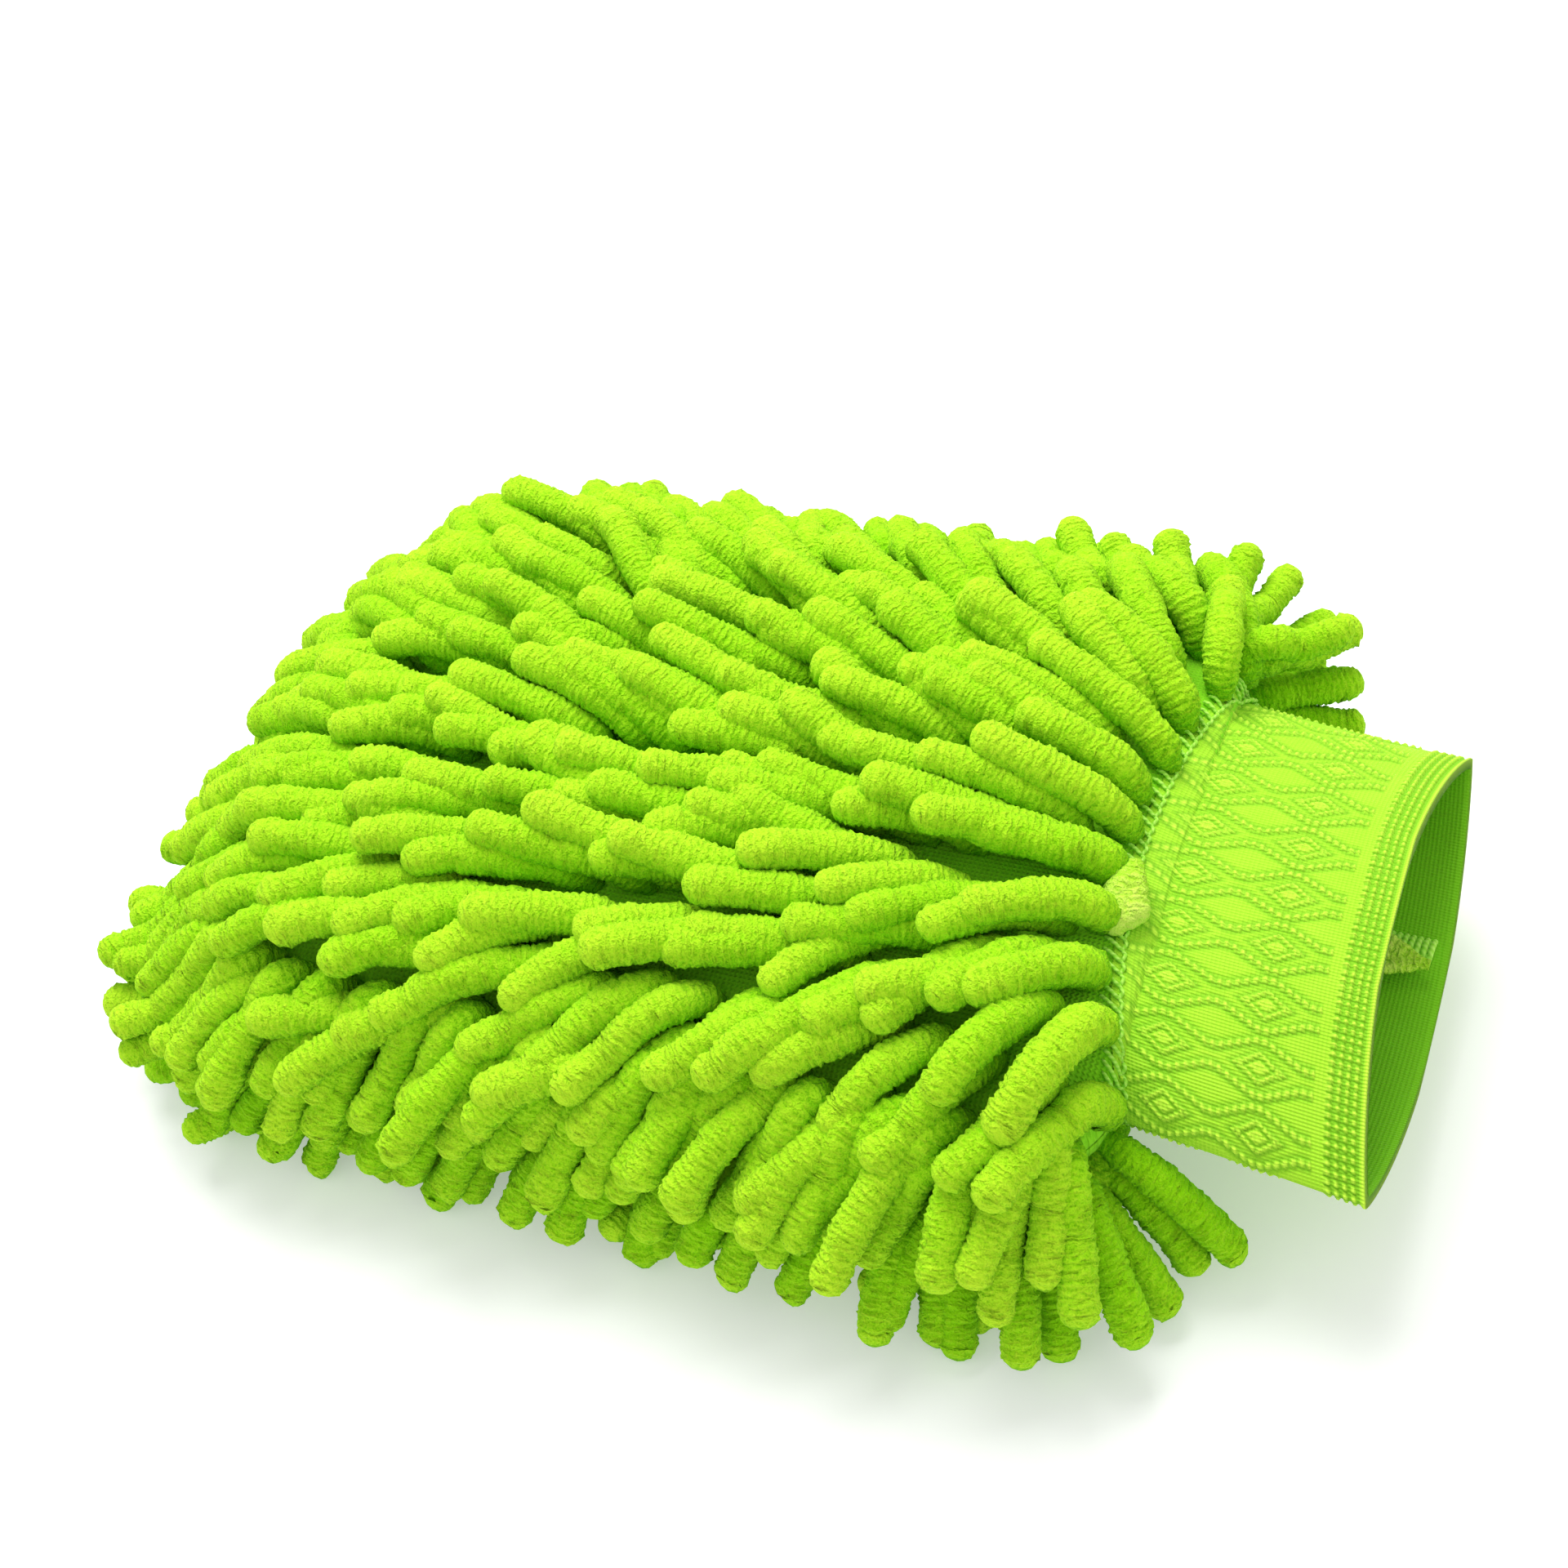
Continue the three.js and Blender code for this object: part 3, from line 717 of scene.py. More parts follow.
# %% Lay the upper rows
ROWS = 13
ROOT_PITCH = 8.7 * MM
NOODLE_LENGTH = 34 * MM
ROW_SWING = 1.6 * MM
SWING_LENGTH = 17 * MM
SIDE_JITTER = 1.3  # in millimetres
HEADING_SPREAD = 0.14
CURL_SPREAD = 7
LENGTH_RANGE = (0.86, 1.12)
RISE_RANGE = (4.2, 6.6)  # in millimetres
FIRST_RISE = 3  # what the first noodles rise more, in millimetres
FIRST_REACH = 26 * MM
SLOPE_RANGE = (0.28, 0.50)


def row_place(number):
    return bag_half_width * (2 * (number - 0.5) / ROWS - 1)


def upper_row(number):
    y = row_place(number)
    wander = dice.uniform(0, FULL_TURN)
    noodles = []
    for x in row_roots(y, ROOT_PITCH, 1):
        root_y = y + ROW_SWING * math.sin(x / SWING_LENGTH + wander) + either_way(SIDE_JITTER) * MM
        heading = comb_heading(x, root_y) + dice.gauss(0, HEADING_SPREAD)
        curl = dice.gauss(0, CURL_SPREAD)
        length = NOODLE_LENGTH * dice.uniform(*LENGTH_RANGE)
        first = max(1 - (seam_x - x) / FIRST_REACH, 0)
        rise = (dice.uniform(*RISE_RANGE) + FIRST_RISE * first) * MM
        slope = dice.uniform(*SLOPE_RANGE)
        path = laid_path(x, root_y, heading, curl, length, upper_support, rise, slope)
        radius = NOODLE_RADIUS * dice.uniform(*THICKNESS_RANGE)
        noodles.append((path, length, radius, dice.uniform(*TONE_RANGE)))
    return noodles


def lay_rows(layer, row):
    """Makes the noodles of every row of a layer, one piece for each row."""
    shown = 0
    for number in range(1, ROWS + 1):
        noodles = row(number)
        noodle_piece(f"{layer}_noodles_{number:02d}", noodles, f"{layer}_row_{number:02d}")
        shown += len(noodles)
    print(layer, "rows:", shown, "noodles")


lay_rows("upper", upper_row)

# %% [markdown]
# ## The lower rows
#
# The same rows hang under the lower panel, where the mitt's weight presses them flat against
# the surface that it lies on. They are the same noodles with the height turned over: they
# leave the cloth downwards until the floor stops them, and every other one comes to rest on
# its neighbours. Little of them shows, so they stand further apart.

# %% Lay the lower rows
LOWER_PITCH = 12.5 * MM
LOWER_HEADING_SPREAD = 0.12
FREE_CURL_SPREAD = 6
LOWER_LENGTH_RANGE = (0.85, 1.05)
PRESSED_RUN = 13 * MM
PRESSED = 0.9  # heights over the floor, in shares of a noodle's radius
FLOOR_DEPTH = 0.35
CROSSING_DEPTH = 0.9


def lower_path(x, y, heading, curl, length, depth):
    run, px, py = plan_path(x, y, heading, curl, length)
    cloth = mid_z - rise_at(px, py)
    resting = NOODLE_RADIUS * (PRESSED + depth)
    z = cloth[0] + (resting - cloth[0]) * eased(np.clip(run / PRESSED_RUN, 0, 1))
    return np.stack([px, py, z], axis=1)


def lower_row(number):
    y = row_place(number)
    noodles = []
    for place, x in enumerate(row_roots(y, LOWER_PITCH, 0)):
        heading = comb_heading(x, y) + dice.gauss(0, LOWER_HEADING_SPREAD)
        length = NOODLE_LENGTH * dice.uniform(*LOWER_LENGTH_RANGE)
        depth = FLOOR_DEPTH + CROSSING_DEPTH * (place % 2)
        path = lower_path(x, y, heading, dice.gauss(0, FREE_CURL_SPREAD), length, depth)
        radius = NOODLE_RADIUS * dice.uniform(*THICKNESS_RANGE)
        noodles.append((path, length, radius, dice.uniform(*TONE_RANGE)))
    return noodles


lay_rows("lower", lower_row)

# %% [markdown]
# ## The edge noodles
#
# Around the side seams the last rows stand out sideways, and these noodles give the mitt its
# shaggy outline. They point square to the seam and lean towards the finger end along the
# sides; at the shoulders the upper ones turn back from the cuff and the lowest ones fan out
# beside it. There are two tiers over the seam, which bow out and hang, and two under it, which
# drop to the floor. Pile that has been lying on one side isn't even, so the noodles of the
# near side reach further, and those of the far shoulder stand higher and are shorter.

# %% Find places along the seam
SHOULDER_RUN = 0.09  # shares of the seam's length
SIDE_RUN = 0.27
RUN_NAMES = ["near_shoulder", "near_side", "finger_end", "far_side", "far_shoulder"]
RUN_ENDS = [0, SHOULDER_RUN, SHOULDER_RUN + SIDE_RUN, 1 - SHOULDER_RUN - SIDE_RUN, 1 - SHOULDER_RUN, 1]
SIDE_COMB = 0.75
COMB_REACH = 60 * MM
BOW_LENGTH = 14 * MM
HANGING_REACH = 24 * MM
HANGING_POWER = 1.7


def edge_place(share):
    """A place on the outline and the direction out of it."""
    index = min(int(share * (OUTLINE_POINTS - 1)), OUTLINE_POINTS - 1)
    return outline[index], outline_out[index]


def edge_heading(place, out, lean):
    """Square to the seam at the shoulders, combed towards the finger end along the sides."""
    comb = SIDE_COMB * min(max((seam_x - place[0]) / COMB_REACH, 0), 1)
    return math.atan2(out[1], out[0] - comb - lean)


def hanging_path(place, heading, curl, length, start, rise, lowest):
    """A noodle that bows out of the side seam and hangs to a height, if it is long enough."""
    run, px, py = plan_path(place[0], place[1], heading, curl, length)
    bow = rise * np.sin(np.pi * np.clip(run / BOW_LENGTH, 0, 1))
    z = start + bow - (start - lowest) * np.clip(run / HANGING_REACH, 0, 1) ** HANGING_POWER
    return np.stack([px, py, np.maximum(z, LOWEST_MIDDLE)], axis=1)


print("stretches of the seam:", ", ".join(RUN_NAMES))

# %% Lay the edge noodles
EDGE_PITCH = 9.2 * MM
EDGE_LENGTH = 31 * MM
NECK_GAP = 0.018  # the upper noodles leave the near corner of the cuff free
SHOULDER_LEAN = 0.45  # how much the upper noodles at the shoulders turn back from the cuff
CUFF_FAN = -0.8  # share of that lean with which the lowest ones turn towards it
END_ZONE = 45 * MM  # how far the finger end reaches along the sides
NEAR_ZONE = 48 * MM
END_GROWTH = 0.10
NEAR_GROWTH = 0.30
FAR_SIDE_LIFT = 7 * MM
FAR_SHOULDER_LIFT = 17 * MM
FAR_SHOULDER_LENGTH = 0.84
EDGE_JITTER = 0.15  # in shares of a step along the seam
EDGE_HEADING_SPREAD = 0.10
EDGE_LENGTH_RANGE = (0.9, 1.1)
DROP_JITTER = 1.5  # in millimetres
EDGE_THICKNESS_RANGE = (0.86, 1.0)
# tones of the lower edge tiers: painted shade, darker than any noodle's own tone
SHADED_RANGE = (-1.6, -0.6)


def edge_tier(first, last, lean, inset, start, rise, lowest):
    """One tier of edge noodles between two shares of the outline."""
    noodles = []
    count = max(round((last - first) * outline_length / EDGE_PITCH), 1)
    for i in range(count):
        share = first + (last - first) * (i + 0.5 + either_way(EDGE_JITTER)) / count
        place, out = edge_place(share)
        heading = edge_heading(place, out, lean) + dice.gauss(0, EDGE_HEADING_SPREAD)
        drop = lowest + either_way(DROP_JITTER) * MM
        at_end = min(max((finger_x + END_ZONE - place[0]) / END_ZONE, 0), 1)
        nearness = min(max(-place[1] / NEAR_ZONE, -1), 1)
        length = EDGE_LENGTH * dice.uniform(*EDGE_LENGTH_RANGE)
        length *= 1 + at_end * (END_GROWTH + NEAR_GROWTH * nearness)
        if first >= 1 - SHOULDER_RUN:
            drop += FAR_SHOULDER_LIFT
            length *= FAR_SHOULDER_LENGTH
        elif place[1] > 0:
            drop += FAR_SIDE_LIFT * (1 - at_end)
        curl = dice.gauss(0, FREE_CURL_SPREAD)
        path = hanging_path(place - out * inset, heading, curl, length, start, rise, drop)
        # upper tiers get their own tone; the lower tiers get painted shade, as they hang under the side seam
        tone_and_shade = dice.uniform(*(TONE_RANGE if start > mid_z else SHADED_RANGE))
        noodles.append((path, length, NOODLE_RADIUS * dice.uniform(*EDGE_THICKNESS_RANGE), tone_and_shade))
    return noodles


shown = 0
for name, first, last in zip(RUN_NAMES, RUN_ENDS, RUN_ENDS[1:]):
    lean = SHOULDER_LEAN if name.endswith("shoulder") else 0
    begin = max(first, NECK_GAP)
    upper = edge_tier(begin, last, lean, inset=1 * MM, start=mid_z + 4 * MM, rise=3 * MM, lowest=20 * MM)
    upper += edge_tier(begin, last, lean, inset=4 * MM, start=mid_z + 8 * MM, rise=4 * MM, lowest=27 * MM)
    noodle_piece(f"upper_edge_{name}", upper, f"upper_fringe_{name}")
    fan = CUFF_FAN * lean
    lower = edge_tier(first, last, 0.0, inset=1 * MM, start=mid_z - 4 * MM, rise=0, lowest=10 * MM)
    lower += edge_tier(first, last, fan, inset=5 * MM, start=mid_z - 9 * MM, rise=0, lowest=4 * MM)
    noodle_piece(f"lower_edge_{name}", lower, f"lower_fringe_{name}")
    shown += len(upper) + len(lower)
print("edge noodles:", shown)

# %% [markdown]
# ## The backing cloth
#
# The two panels are knitted cloth that the noodles are sewn through. They show in the gaps
# and as a smooth band beside the cuff. The lining is a thinner knit. Loops this fine would
# take millions of faces, so rows of loops and the ribs across them are drawn by the finish,
# as two waves, the first shifted a little by the second.

# %% Make the knitted finishes
MOTTLE_GRAIN = 220
LINT_GRAIN = 3200


def knit_finish(name, dark, light, pitch, depth):
    """Plain knitted cloth: rows of loops across fine ribs."""
    finish = Finish(name)
    place = finish.place()
    along = finish.part(place, "X")
    ribs = finish.part(place, "Y").ripple(pitch)
    loops = (along * (2 * math.pi / pitch) + ribs * 1.2).sine()
    mottle = finish.noise(place, MOTTLE_GRAIN, 3)
    fuzz = finish.noise(place, LINT_GRAIN, 2)
    shade = (0.5 + loops * 0.16 + ribs * 0.12 + (mottle - 0.5) * 0.6 + (fuzz - 0.5) * 0.4).clamped()
    height = loops * 0.35 + ribs * 0.35 + fuzz * 0.5
    finish.surface(Base_Color=finish.blend(shade, dark, light), Roughness=0.9)
    finish.surface(Normal=finish.bump(height, depth), Sheen_Weight=0.25, Sheen_Roughness=0.5)
    finish.surface(Sheen_Tint=SHEEN_GREEN, Specular_IOR_Level=0.2)
    return finish.material


backing = knit_finish("backing_cloth", dark=(0.20, 0.66, 0.004, 1), light=(0.36, 0.90, 0.02, 1),
                      pitch=0.9 * MM, depth=0.2 * MM)
lining = knit_finish("lining_cloth", dark=(0.20, 0.60, 0.01, 1), light=(0.34, 0.80, 0.03, 1),
                     pitch=0.7 * MM, depth=0.12 * MM)
print("finishes:", backing.name, "and", lining.name)

# %% [markdown]
# ## Panels and linings
#
# Each cloth is a grid of points on the bag's formula, and a second grid just inside closes it,
# so the cloth has a thickness. A cut panel is a little larger than what shows, because its
# edge is turned in at the seam.

# %% Build cloth shells from two grids
HALVES_GAP = 0.2 * MM
THINNEST = 0.1 * MM


def grid_quads(rows, columns, offset=0):
    """Quads of a grid of points, row by row."""
    row, column = np.meshgrid(np.arange(rows - 1), np.arange(columns - 1), indexing="ij")
    corner = offset + row * columns + column
    quads = np.stack([corner, corner + 1, corner + columns + 1, corner + columns], axis=-1)
    return quads.reshape(-1, 4)


def shell_of(outer, inner):
    """Closes two grids of the same size into one thin shell."""
    rows, columns = outer.shape[:2]
    count = rows * columns
    rim = list(range(columns))
    rim += [row * columns + columns - 1 for row in range(1, rows)]
    rim += [(rows - 1) * columns + column for column in range(columns - 2, -1, -1)]
    rim += [row * columns for row in range(rows - 2, 0, -1)]
    rim = np.array(rim)
    after = np.roll(rim, -1)
    edge = np.stack([after, rim, rim + count, after + count], axis=-1)
    quads = np.concatenate([grid_quads(rows, columns), grid_quads(rows, columns, count)[:, ::-1], edge])
    return np.concatenate([outer.reshape(-1, 3), inner.reshape(-1, 3)]), quads


def half_bag(side, wall, margin, mouth_x, rows=120, columns=90):
    """A grid on the upper (side 1) or lower (side -1) half of the bag."""
    turn = np.linspace(0, math.pi, rows)
    x = finger_x + margin + (mouth_x - finger_x - margin) * (1 - np.cos(turn)) / 2
    across = np.sin(np.linspace(-math.pi / 2, math.pi / 2, columns))
    scaled = (x - finger_x - margin) / (seam_x - finger_x - margin) * (seam_x - finger_x) + finger_x
    width = half_width_at(scaled) - margin
    height = np.maximum(half_height_at(scaled) - wall, THINNEST)
    y = width[:, None] * across[None]
    z = height[:, None] * np.sqrt(np.clip(1 - np.abs(across[None]) ** SECTION_POWER, 0, 1))
    z = mid_z + side * (z + HALVES_GAP)
    return np.stack([np.broadcast_to(x[:, None], y.shape), y, z], axis=-1)


print("a cloth's grid:", half_bag(1, 0, 0, seam_x).shape[:2], "points")

# %% Cut the panels and the linings
PANEL_CLOTH = 1.2 * MM
LINING_CLOTH = 0.7 * MM
LINING_DEPTH = 1.8 * MM
LINING_MARGIN = 10.5 * MM
LINING_MOUTH = seam_x - 8.6 * MM


def cloth_half(name, side, wall, margin, thickness, mouth_x, material, slot, node):
    outer = half_bag(side, wall, margin, mouth_x)
    inner = half_bag(side, wall + thickness, margin + thickness * 0.5, mouth_x)
    points, quads = shell_of(outer, inner)
    if side > 0:
        quads = quads[:, ::-1]
    return mesh_piece(name, points, quads, material, [node], slot)


for side, layer in ((1, "upper"), (-1, "lower")):
    panel = cloth_half(f"{layer}_backing", side, 0, 0, PANEL_CLOTH, seam_x, backing,
                       "backing_cloth", f"{layer}_panel")
    inside = cloth_half(f"{layer}_hand_lining", side, LINING_DEPTH, LINING_MARGIN, LINING_CLOTH,
                        LINING_MOUTH, lining, "lining_cloth", f"{layer}_lining")
print("cloth: two panels and two linings")

# %% [markdown]
# ## The figure of the elastic
#
# The cuff is a tube of wide jacquard elastic. Its figure is knitted in: raised stitches draw
# pairs of waving lines that open into cells, with a small diamond in each, and a band of
# square dots runs beside the hem. The relief is real, so it is put in the mesh: the same
# function that draws the figure pushes the points out, and its value is kept on the mesh for
# the finish to colour the raised stitches and to paint shade into the grooves beside them.

# %% Draw one cell of the figure
CELLS_AROUND = 19
CELL_LENGTH = 16.5 * MM
FIRST_CELL = 9 * MM
STITCH = 1.45 * MM
LINE_WIDTH = 0.8 * MM
LINE_MIDDLE = 0.285  # across the cell, in shares of its width
LINE_WAVE = 0.125
WAVE_TOP = 1.3  # over 1, so that the lines run straight where they are closest and widest
WAVE_SLOPE = 5.2
DIAMOND_LENGTH = 4.6 * MM
DIAMOND_WIDTH = 0.25
DIAMOND_LINE = 0.84  # from the diamond's middle, where 1 is its corners
DIAMOND_LINE_WIDTH = 0.24
HEART_LINE = 0.26
HEART_LINE_WIDTH = 0.22
GROOVE_WIDTH = 1.7 * MM
DIAMOND_GROOVE_WIDTH = 0.55
STITCH_VALLEY = 0.6  # the middle height between a stitch and the valley to the next
BAND_FLANK = 1.6


def band(distance, width):
    """1 on a line, falling to 0 at its edges."""
    return np.clip(BAND_FLANK - BAND_FLANK * np.abs(distance) / width, 0, 1)


def stitched(wave):
    """How high a line is along its stitches, from a wave between -1 and 1."""
    return STITCH_VALLEY + (1 - STITCH_VALLEY) * wave


def cell_figure(along, around, cell):
    """The waving lines and the diamonds: how raised, and how deep the groove beside them."""
    across = ((around / cell + 0.5) % 1 - 0.5) * cell
    into = (along - FIRST_CELL + CELL_LENGTH / 2) % CELL_LENGTH - CELL_LENGTH / 2
    wave = np.clip(WAVE_TOP - WAVE_SLOPE * np.abs(into) / CELL_LENGTH, -1, 1)
    from_line = np.abs(across) - (LINE_MIDDLE + LINE_WAVE * wave) * cell
    lines = band(from_line, LINE_WIDTH) * stitched(np.cos(2 * math.pi * along / STITCH))
    spread = np.abs(into) / DIAMOND_LENGTH + np.abs(across) / (DIAMOND_WIDTH * cell)
    dots = stitched(np.cos(2 * math.pi * into / STITCH) * np.cos(2 * math.pi * across / STITCH))
    diamond = band(spread - DIAMOND_LINE, DIAMOND_LINE_WIDTH) * dots
    heart = band(spread - HEART_LINE, HEART_LINE_WIDTH) * dots
    raised = np.maximum(np.maximum(lines, diamond), heart)
    beside = band(spread - DIAMOND_LINE, DIAMOND_GROOVE_WIDTH)
    beside = np.maximum(band(from_line, GROOVE_WIDTH), beside)
    return raised, np.clip(beside - 1.5 * raised, 0, 1)


print("figure:", CELLS_AROUND, "cells around,", CELL_LENGTH / MM, "mm long")

# %% Add the hem's dots and the selvedge
FIGURE_START = 1.2 * MM
FIGURE_END = 35.0 * MM
DOTS_START = 37.6 * MM
DOT_PITCH = 1.5 * MM
DOTS_MARGIN = 0.9 * MM
SELVEDGE_INSET = 0.3 * MM
SELVEDGE_WIDTH = 0.5 * MM


def hem_dots(along, around, girth, length):
    """Square dots in straight columns, with grooves between them."""
    pitch = girth / round(girth / DOT_PITCH)
    first = np.cos(2 * math.pi * (along - DOTS_START) / DOT_PITCH)
    second = np.cos(2 * math.pi * around / pitch)
    dots = np.clip(np.minimum(first, second) * 1.6 + 0.75, 0, 1)
    inside = (along > DOTS_START - DOT_PITCH / 2) & (along < length - DOTS_MARGIN)
    return dots * inside, (1 - dots) * inside


def figure(along, around, girth, length):
    """How far the stitches are raised, and how deep the grooves are, at a place on the elastic."""
    raised, groove = cell_figure(along, around, girth / CELLS_AROUND)
    shown = (along > FIGURE_START) & (along < FIGURE_END)
    dots, gaps = hem_dots(along, around, girth, length)
    selvedge = band(along - length + SELVEDGE_INSET, SELVEDGE_WIDTH) * 0.8
    raised = np.maximum(np.maximum(raised * shown, dots * 0.9), selvedge)
    return raised, np.maximum(groove * shown * 0.9, gaps * 0.75)


print("hem: dots every", DOT_PITCH / MM, "mm from", DOTS_START / MM, "mm on")

# %% [markdown]
# ## The cuff's shape
#
# Seen from its end the cuff is a flattened oval at the seam and an almond at the hem, where
# the folds of the elastic make two corners. A superellipse gives both, with two powers that
# change along the cuff. Elastic is springy and soft, so it isn't left straight: it sways to
# the near side, its hem leans back on top, its mouth stands a little open, and long shallow
# folds run along it. Where its seam bows over the bag, the elastic lies on the cloth.

# %% Shape the cuff's section
CURVE_POINTS = 720
MOUTH_SIDE_POWER = 2
SEAM_TOP_POWER = 2
MOUTH_TOP_POWER = 1.15
MOUTH_EASE = 1.5 * MM


def section_curve(share, inset):
    """The cuff's section at a share of its length, as a closed curve."""
    power_y = SECTION_POWER + (MOUTH_SIDE_POWER - SECTION_POWER) * share
    power_z = SEAM_TOP_POWER + (MOUTH_TOP_POWER - SEAM_TOP_POWER) * share
    width = NECK_HALF_WIDTH + (cuff_half_width - NECK_HALF_WIDTH) * share - inset * (1 + share)
    mouth = cuff_half_height + MOUTH_EASE
    height = NECK_HALF_HEIGHT + (mouth - NECK_HALF_HEIGHT) * share - inset
    turn = np.linspace(0, 2 * math.pi, CURVE_POINTS + 1)
    y = width * np.sign(np.cos(turn)) * np.abs(np.cos(turn)) ** (2 / power_y)
    z = height * np.sign(np.sin(turn)) * np.abs(np.sin(turn)) ** (2 / power_z)
    return np.stack([y, z], axis=1)


def even_section(share, inset, count):
    """The same section with its points spaced evenly, and its length around."""
    curve = section_curve(share, inset)
    distance = distance_along(curve)
    even = np.linspace(0, distance[-1], count, endpoint=False)
    return points_at(even, distance, curve), distance[-1]


def outward(section):
    """The direction out of a section at each of its points."""
    step = np.roll(section, -1, axis=0) - np.roll(section, 1, axis=0)
    out = np.stack([step[:, 1], -step[:, 0]], axis=1)
    return out / np.maximum(np.linalg.norm(out, axis=1), 1e-9)[:, None]


print("girth:", [round(even_section(share, 0, 90)[1] / MM) for share in (0, 1)], "mm at the seam and the hem")

# %% Lay out the elastic
HEM_LEAN = 4 * MM
CUFF_LENGTH = hem_x - seam_x - HEM_LEAN / 2
UPPER_LEAN = 5 * MM
LOWER_LEAN = 3 * MM
SWAY = 6 * MM
ELASTIC_THICKNESS = 1.1 * MM
ELASTIC_LIFT = 0.45 * MM  # how far over the bag's cloth the elastic lies
RELIEF = 0.5 * MM
GROOVE_DEPTH = 0.5  # share of the relief
FOLD_DEPTH = 0.5 * MM
FOLD_SLANT = 30 * MM
WIDE_FOLD = 5.5 * MM
NARROW_FOLD = 3.1 * MM
FOLD_TOP = 3 * MM  # over this height the elastic is nearly smooth
FOLD_FADE = 8 * MM
FOLD_LEAST = 0.15
LEAN_POWER = 1.5  # how late the lean, the end of the bow and the sway come along the cuff
BOW_POWER = 1.3
SWAY_POWER = 0.7


def laid_on_bag(x, y, z, lift):
    """Heights of upper points, which follow the bag where they reach past the seam."""
    past = (x < seam_x) & (z > 0)
    return np.where(past, np.maximum(rise_at(np.minimum(x, seam_x), y) + lift, z), z)


def soft_folds(along, y, z):
    """Slack in the elastic: long shallow folds that run from the seam to the hem."""
    low = np.clip((FOLD_TOP - z) / FOLD_FADE, FOLD_LEAST, 1)
    spread = np.sin(math.pi * np.clip(along / CUFF_LENGTH, 0, 1) ** 0.8)
    wave = np.sin(y / WIDE_FOLD + along / FOLD_SLANT) + 0.6 * np.sin(y / NARROW_FOLD + 1.2)
    return FOLD_DEPTH * wave * spread * low


def cuff_ring(along, inset, relief, columns):
    """One ring of points around the cuff, and how raised and how sunk each is."""
    share = along / CUFF_LENGTH
    section, girth = even_section(share, inset, columns)
    upper = np.clip(section[:, 1] / cuff_half_height, 0, 1)
    lower = np.clip(-section[:, 1] / cuff_half_height, 0, 1)
    lean = (LOWER_LEAN * lower - UPPER_LEAN * upper) * share**LEAN_POWER
    bow = neck_bow(section[:, 0], section[:, 1]) * (1 - share) ** BOW_POWER
    around = np.arange(columns) / columns * girth
    raised, groove = figure(np.full(columns, along), around, girth, CUFF_LENGTH)
    push = relief * (raised - GROOVE_DEPTH * groove) + soft_folds(along, section[:, 0], section[:, 1])
    moved = section + outward(section) * push[:, None]
    x = seam_x + along + lean - bow
    z = laid_on_bag(x, moved[:, 0], moved[:, 1], ELASTIC_LIFT - inset)
    return np.stack([x, moved[:, 0] - SWAY * share**SWAY_POWER, mid_z + z], axis=1), raised, groove


def cuff_grid(inset, relief, rows, columns):
    """Rings of points along the cuff, and how raised and how sunk each point is."""
    rings = [cuff_ring(along, inset, relief, columns) for along in np.linspace(0, CUFF_LENGTH, rows)]
    return [np.array(values) for values in zip(*rings)]


print("elastic:", round(CUFF_LENGTH / MM, 1), "mm from the seam to the hem")

# %% [markdown]
# ## The elastic's finish
#
# Rubber threads run around the wrist inside such an elastic, and fine ribs run along it.
# The finish draws both from a layout in millimetres, so that they follow the cloth wherever
# it bends. Raised stitches are pale, and the grooves get painted shade. The inside gets painted
# shade too, because the light that gets there has already met green cloth.

# %% Make the elastic's finish
ELASTIC_GROUND = (0.30, 0.72, 0.006, 1)
ELASTIC_RAISED = (0.62, 0.98, 0.06, 1)
ELASTIC_GROOVE_SHADE = (0.12, 0.43, 0.002, 1)
ELASTIC_INSIDE_SHADE = (0.16, 0.58, 0.001, 1)
RIB_PITCH = 0.62  # in millimetres
COURSE_PITCH = 0.75
ELASTIC_LINT = 3000
ELASTIC_MOTTLE = 160
WEAVE_DEPTH = 0.16 * MM


def elastic_finish():
    finish = Finish("elastic_knit")
    weave = finish.layout("weave")
    courses = finish.part(weave, "X").ripple(COURSE_PITCH)
    ribs = finish.part(weave, "Y").ripple(RIB_PITCH)
    raised = finish.stored("raised")
    place = finish.place()
    fuzz = finish.noise(place, ELASTIC_LINT, 2)
    mottle = finish.noise(place, ELASTIC_MOTTLE, 2)
    light = (0.34 + raised * 0.75 + ribs * 0.08 + courses * 0.04).clamped()
    light = (light + (mottle - 0.5) * 0.3 + (fuzz - 0.5) * 0.3).clamped()
    colour = finish.blend(light, ELASTIC_GROUND, ELASTIC_RAISED)
    # painted shade in the grooves beside the raised stitches and between the hem's dots
    colour = finish.blend(finish.stored("groove") * 0.8, colour, ELASTIC_GROOVE_SHADE)
    # painted shade over the whole inside of the cuff
    colour = finish.blend(finish.stored("inside") * 0.8, colour, ELASTIC_INSIDE_SHADE)
    height = ribs * 0.4 + courses * 0.25 + fuzz * 0.4 + raised * 0.8
    finish.surface(Base_Color=colour, Roughness=0.8, Normal=finish.bump(height, WEAVE_DEPTH))
    finish.surface(Sheen_Weight=0.08, Sheen_Roughness=0.4, Sheen_Tint=SHEEN_GREEN)
    finish.surface(Specular_IOR_Level=0.3)
    return finish.material


elastic = elastic_finish()
print("finish:", elastic.name, "with", len(elastic.node_tree.nodes), "nodes")

# %% [markdown]
# ## Two layers make the cuff
#
# A single grid would be paper. The cuff is two: a fine one outside that holds the relief, a
# coarser one inside, and two narrow rims that close them at the seam and at the hem. The
# sheet for baking gives most of its room to the outside, which is what shows.

# %% Close tubes that have a thickness


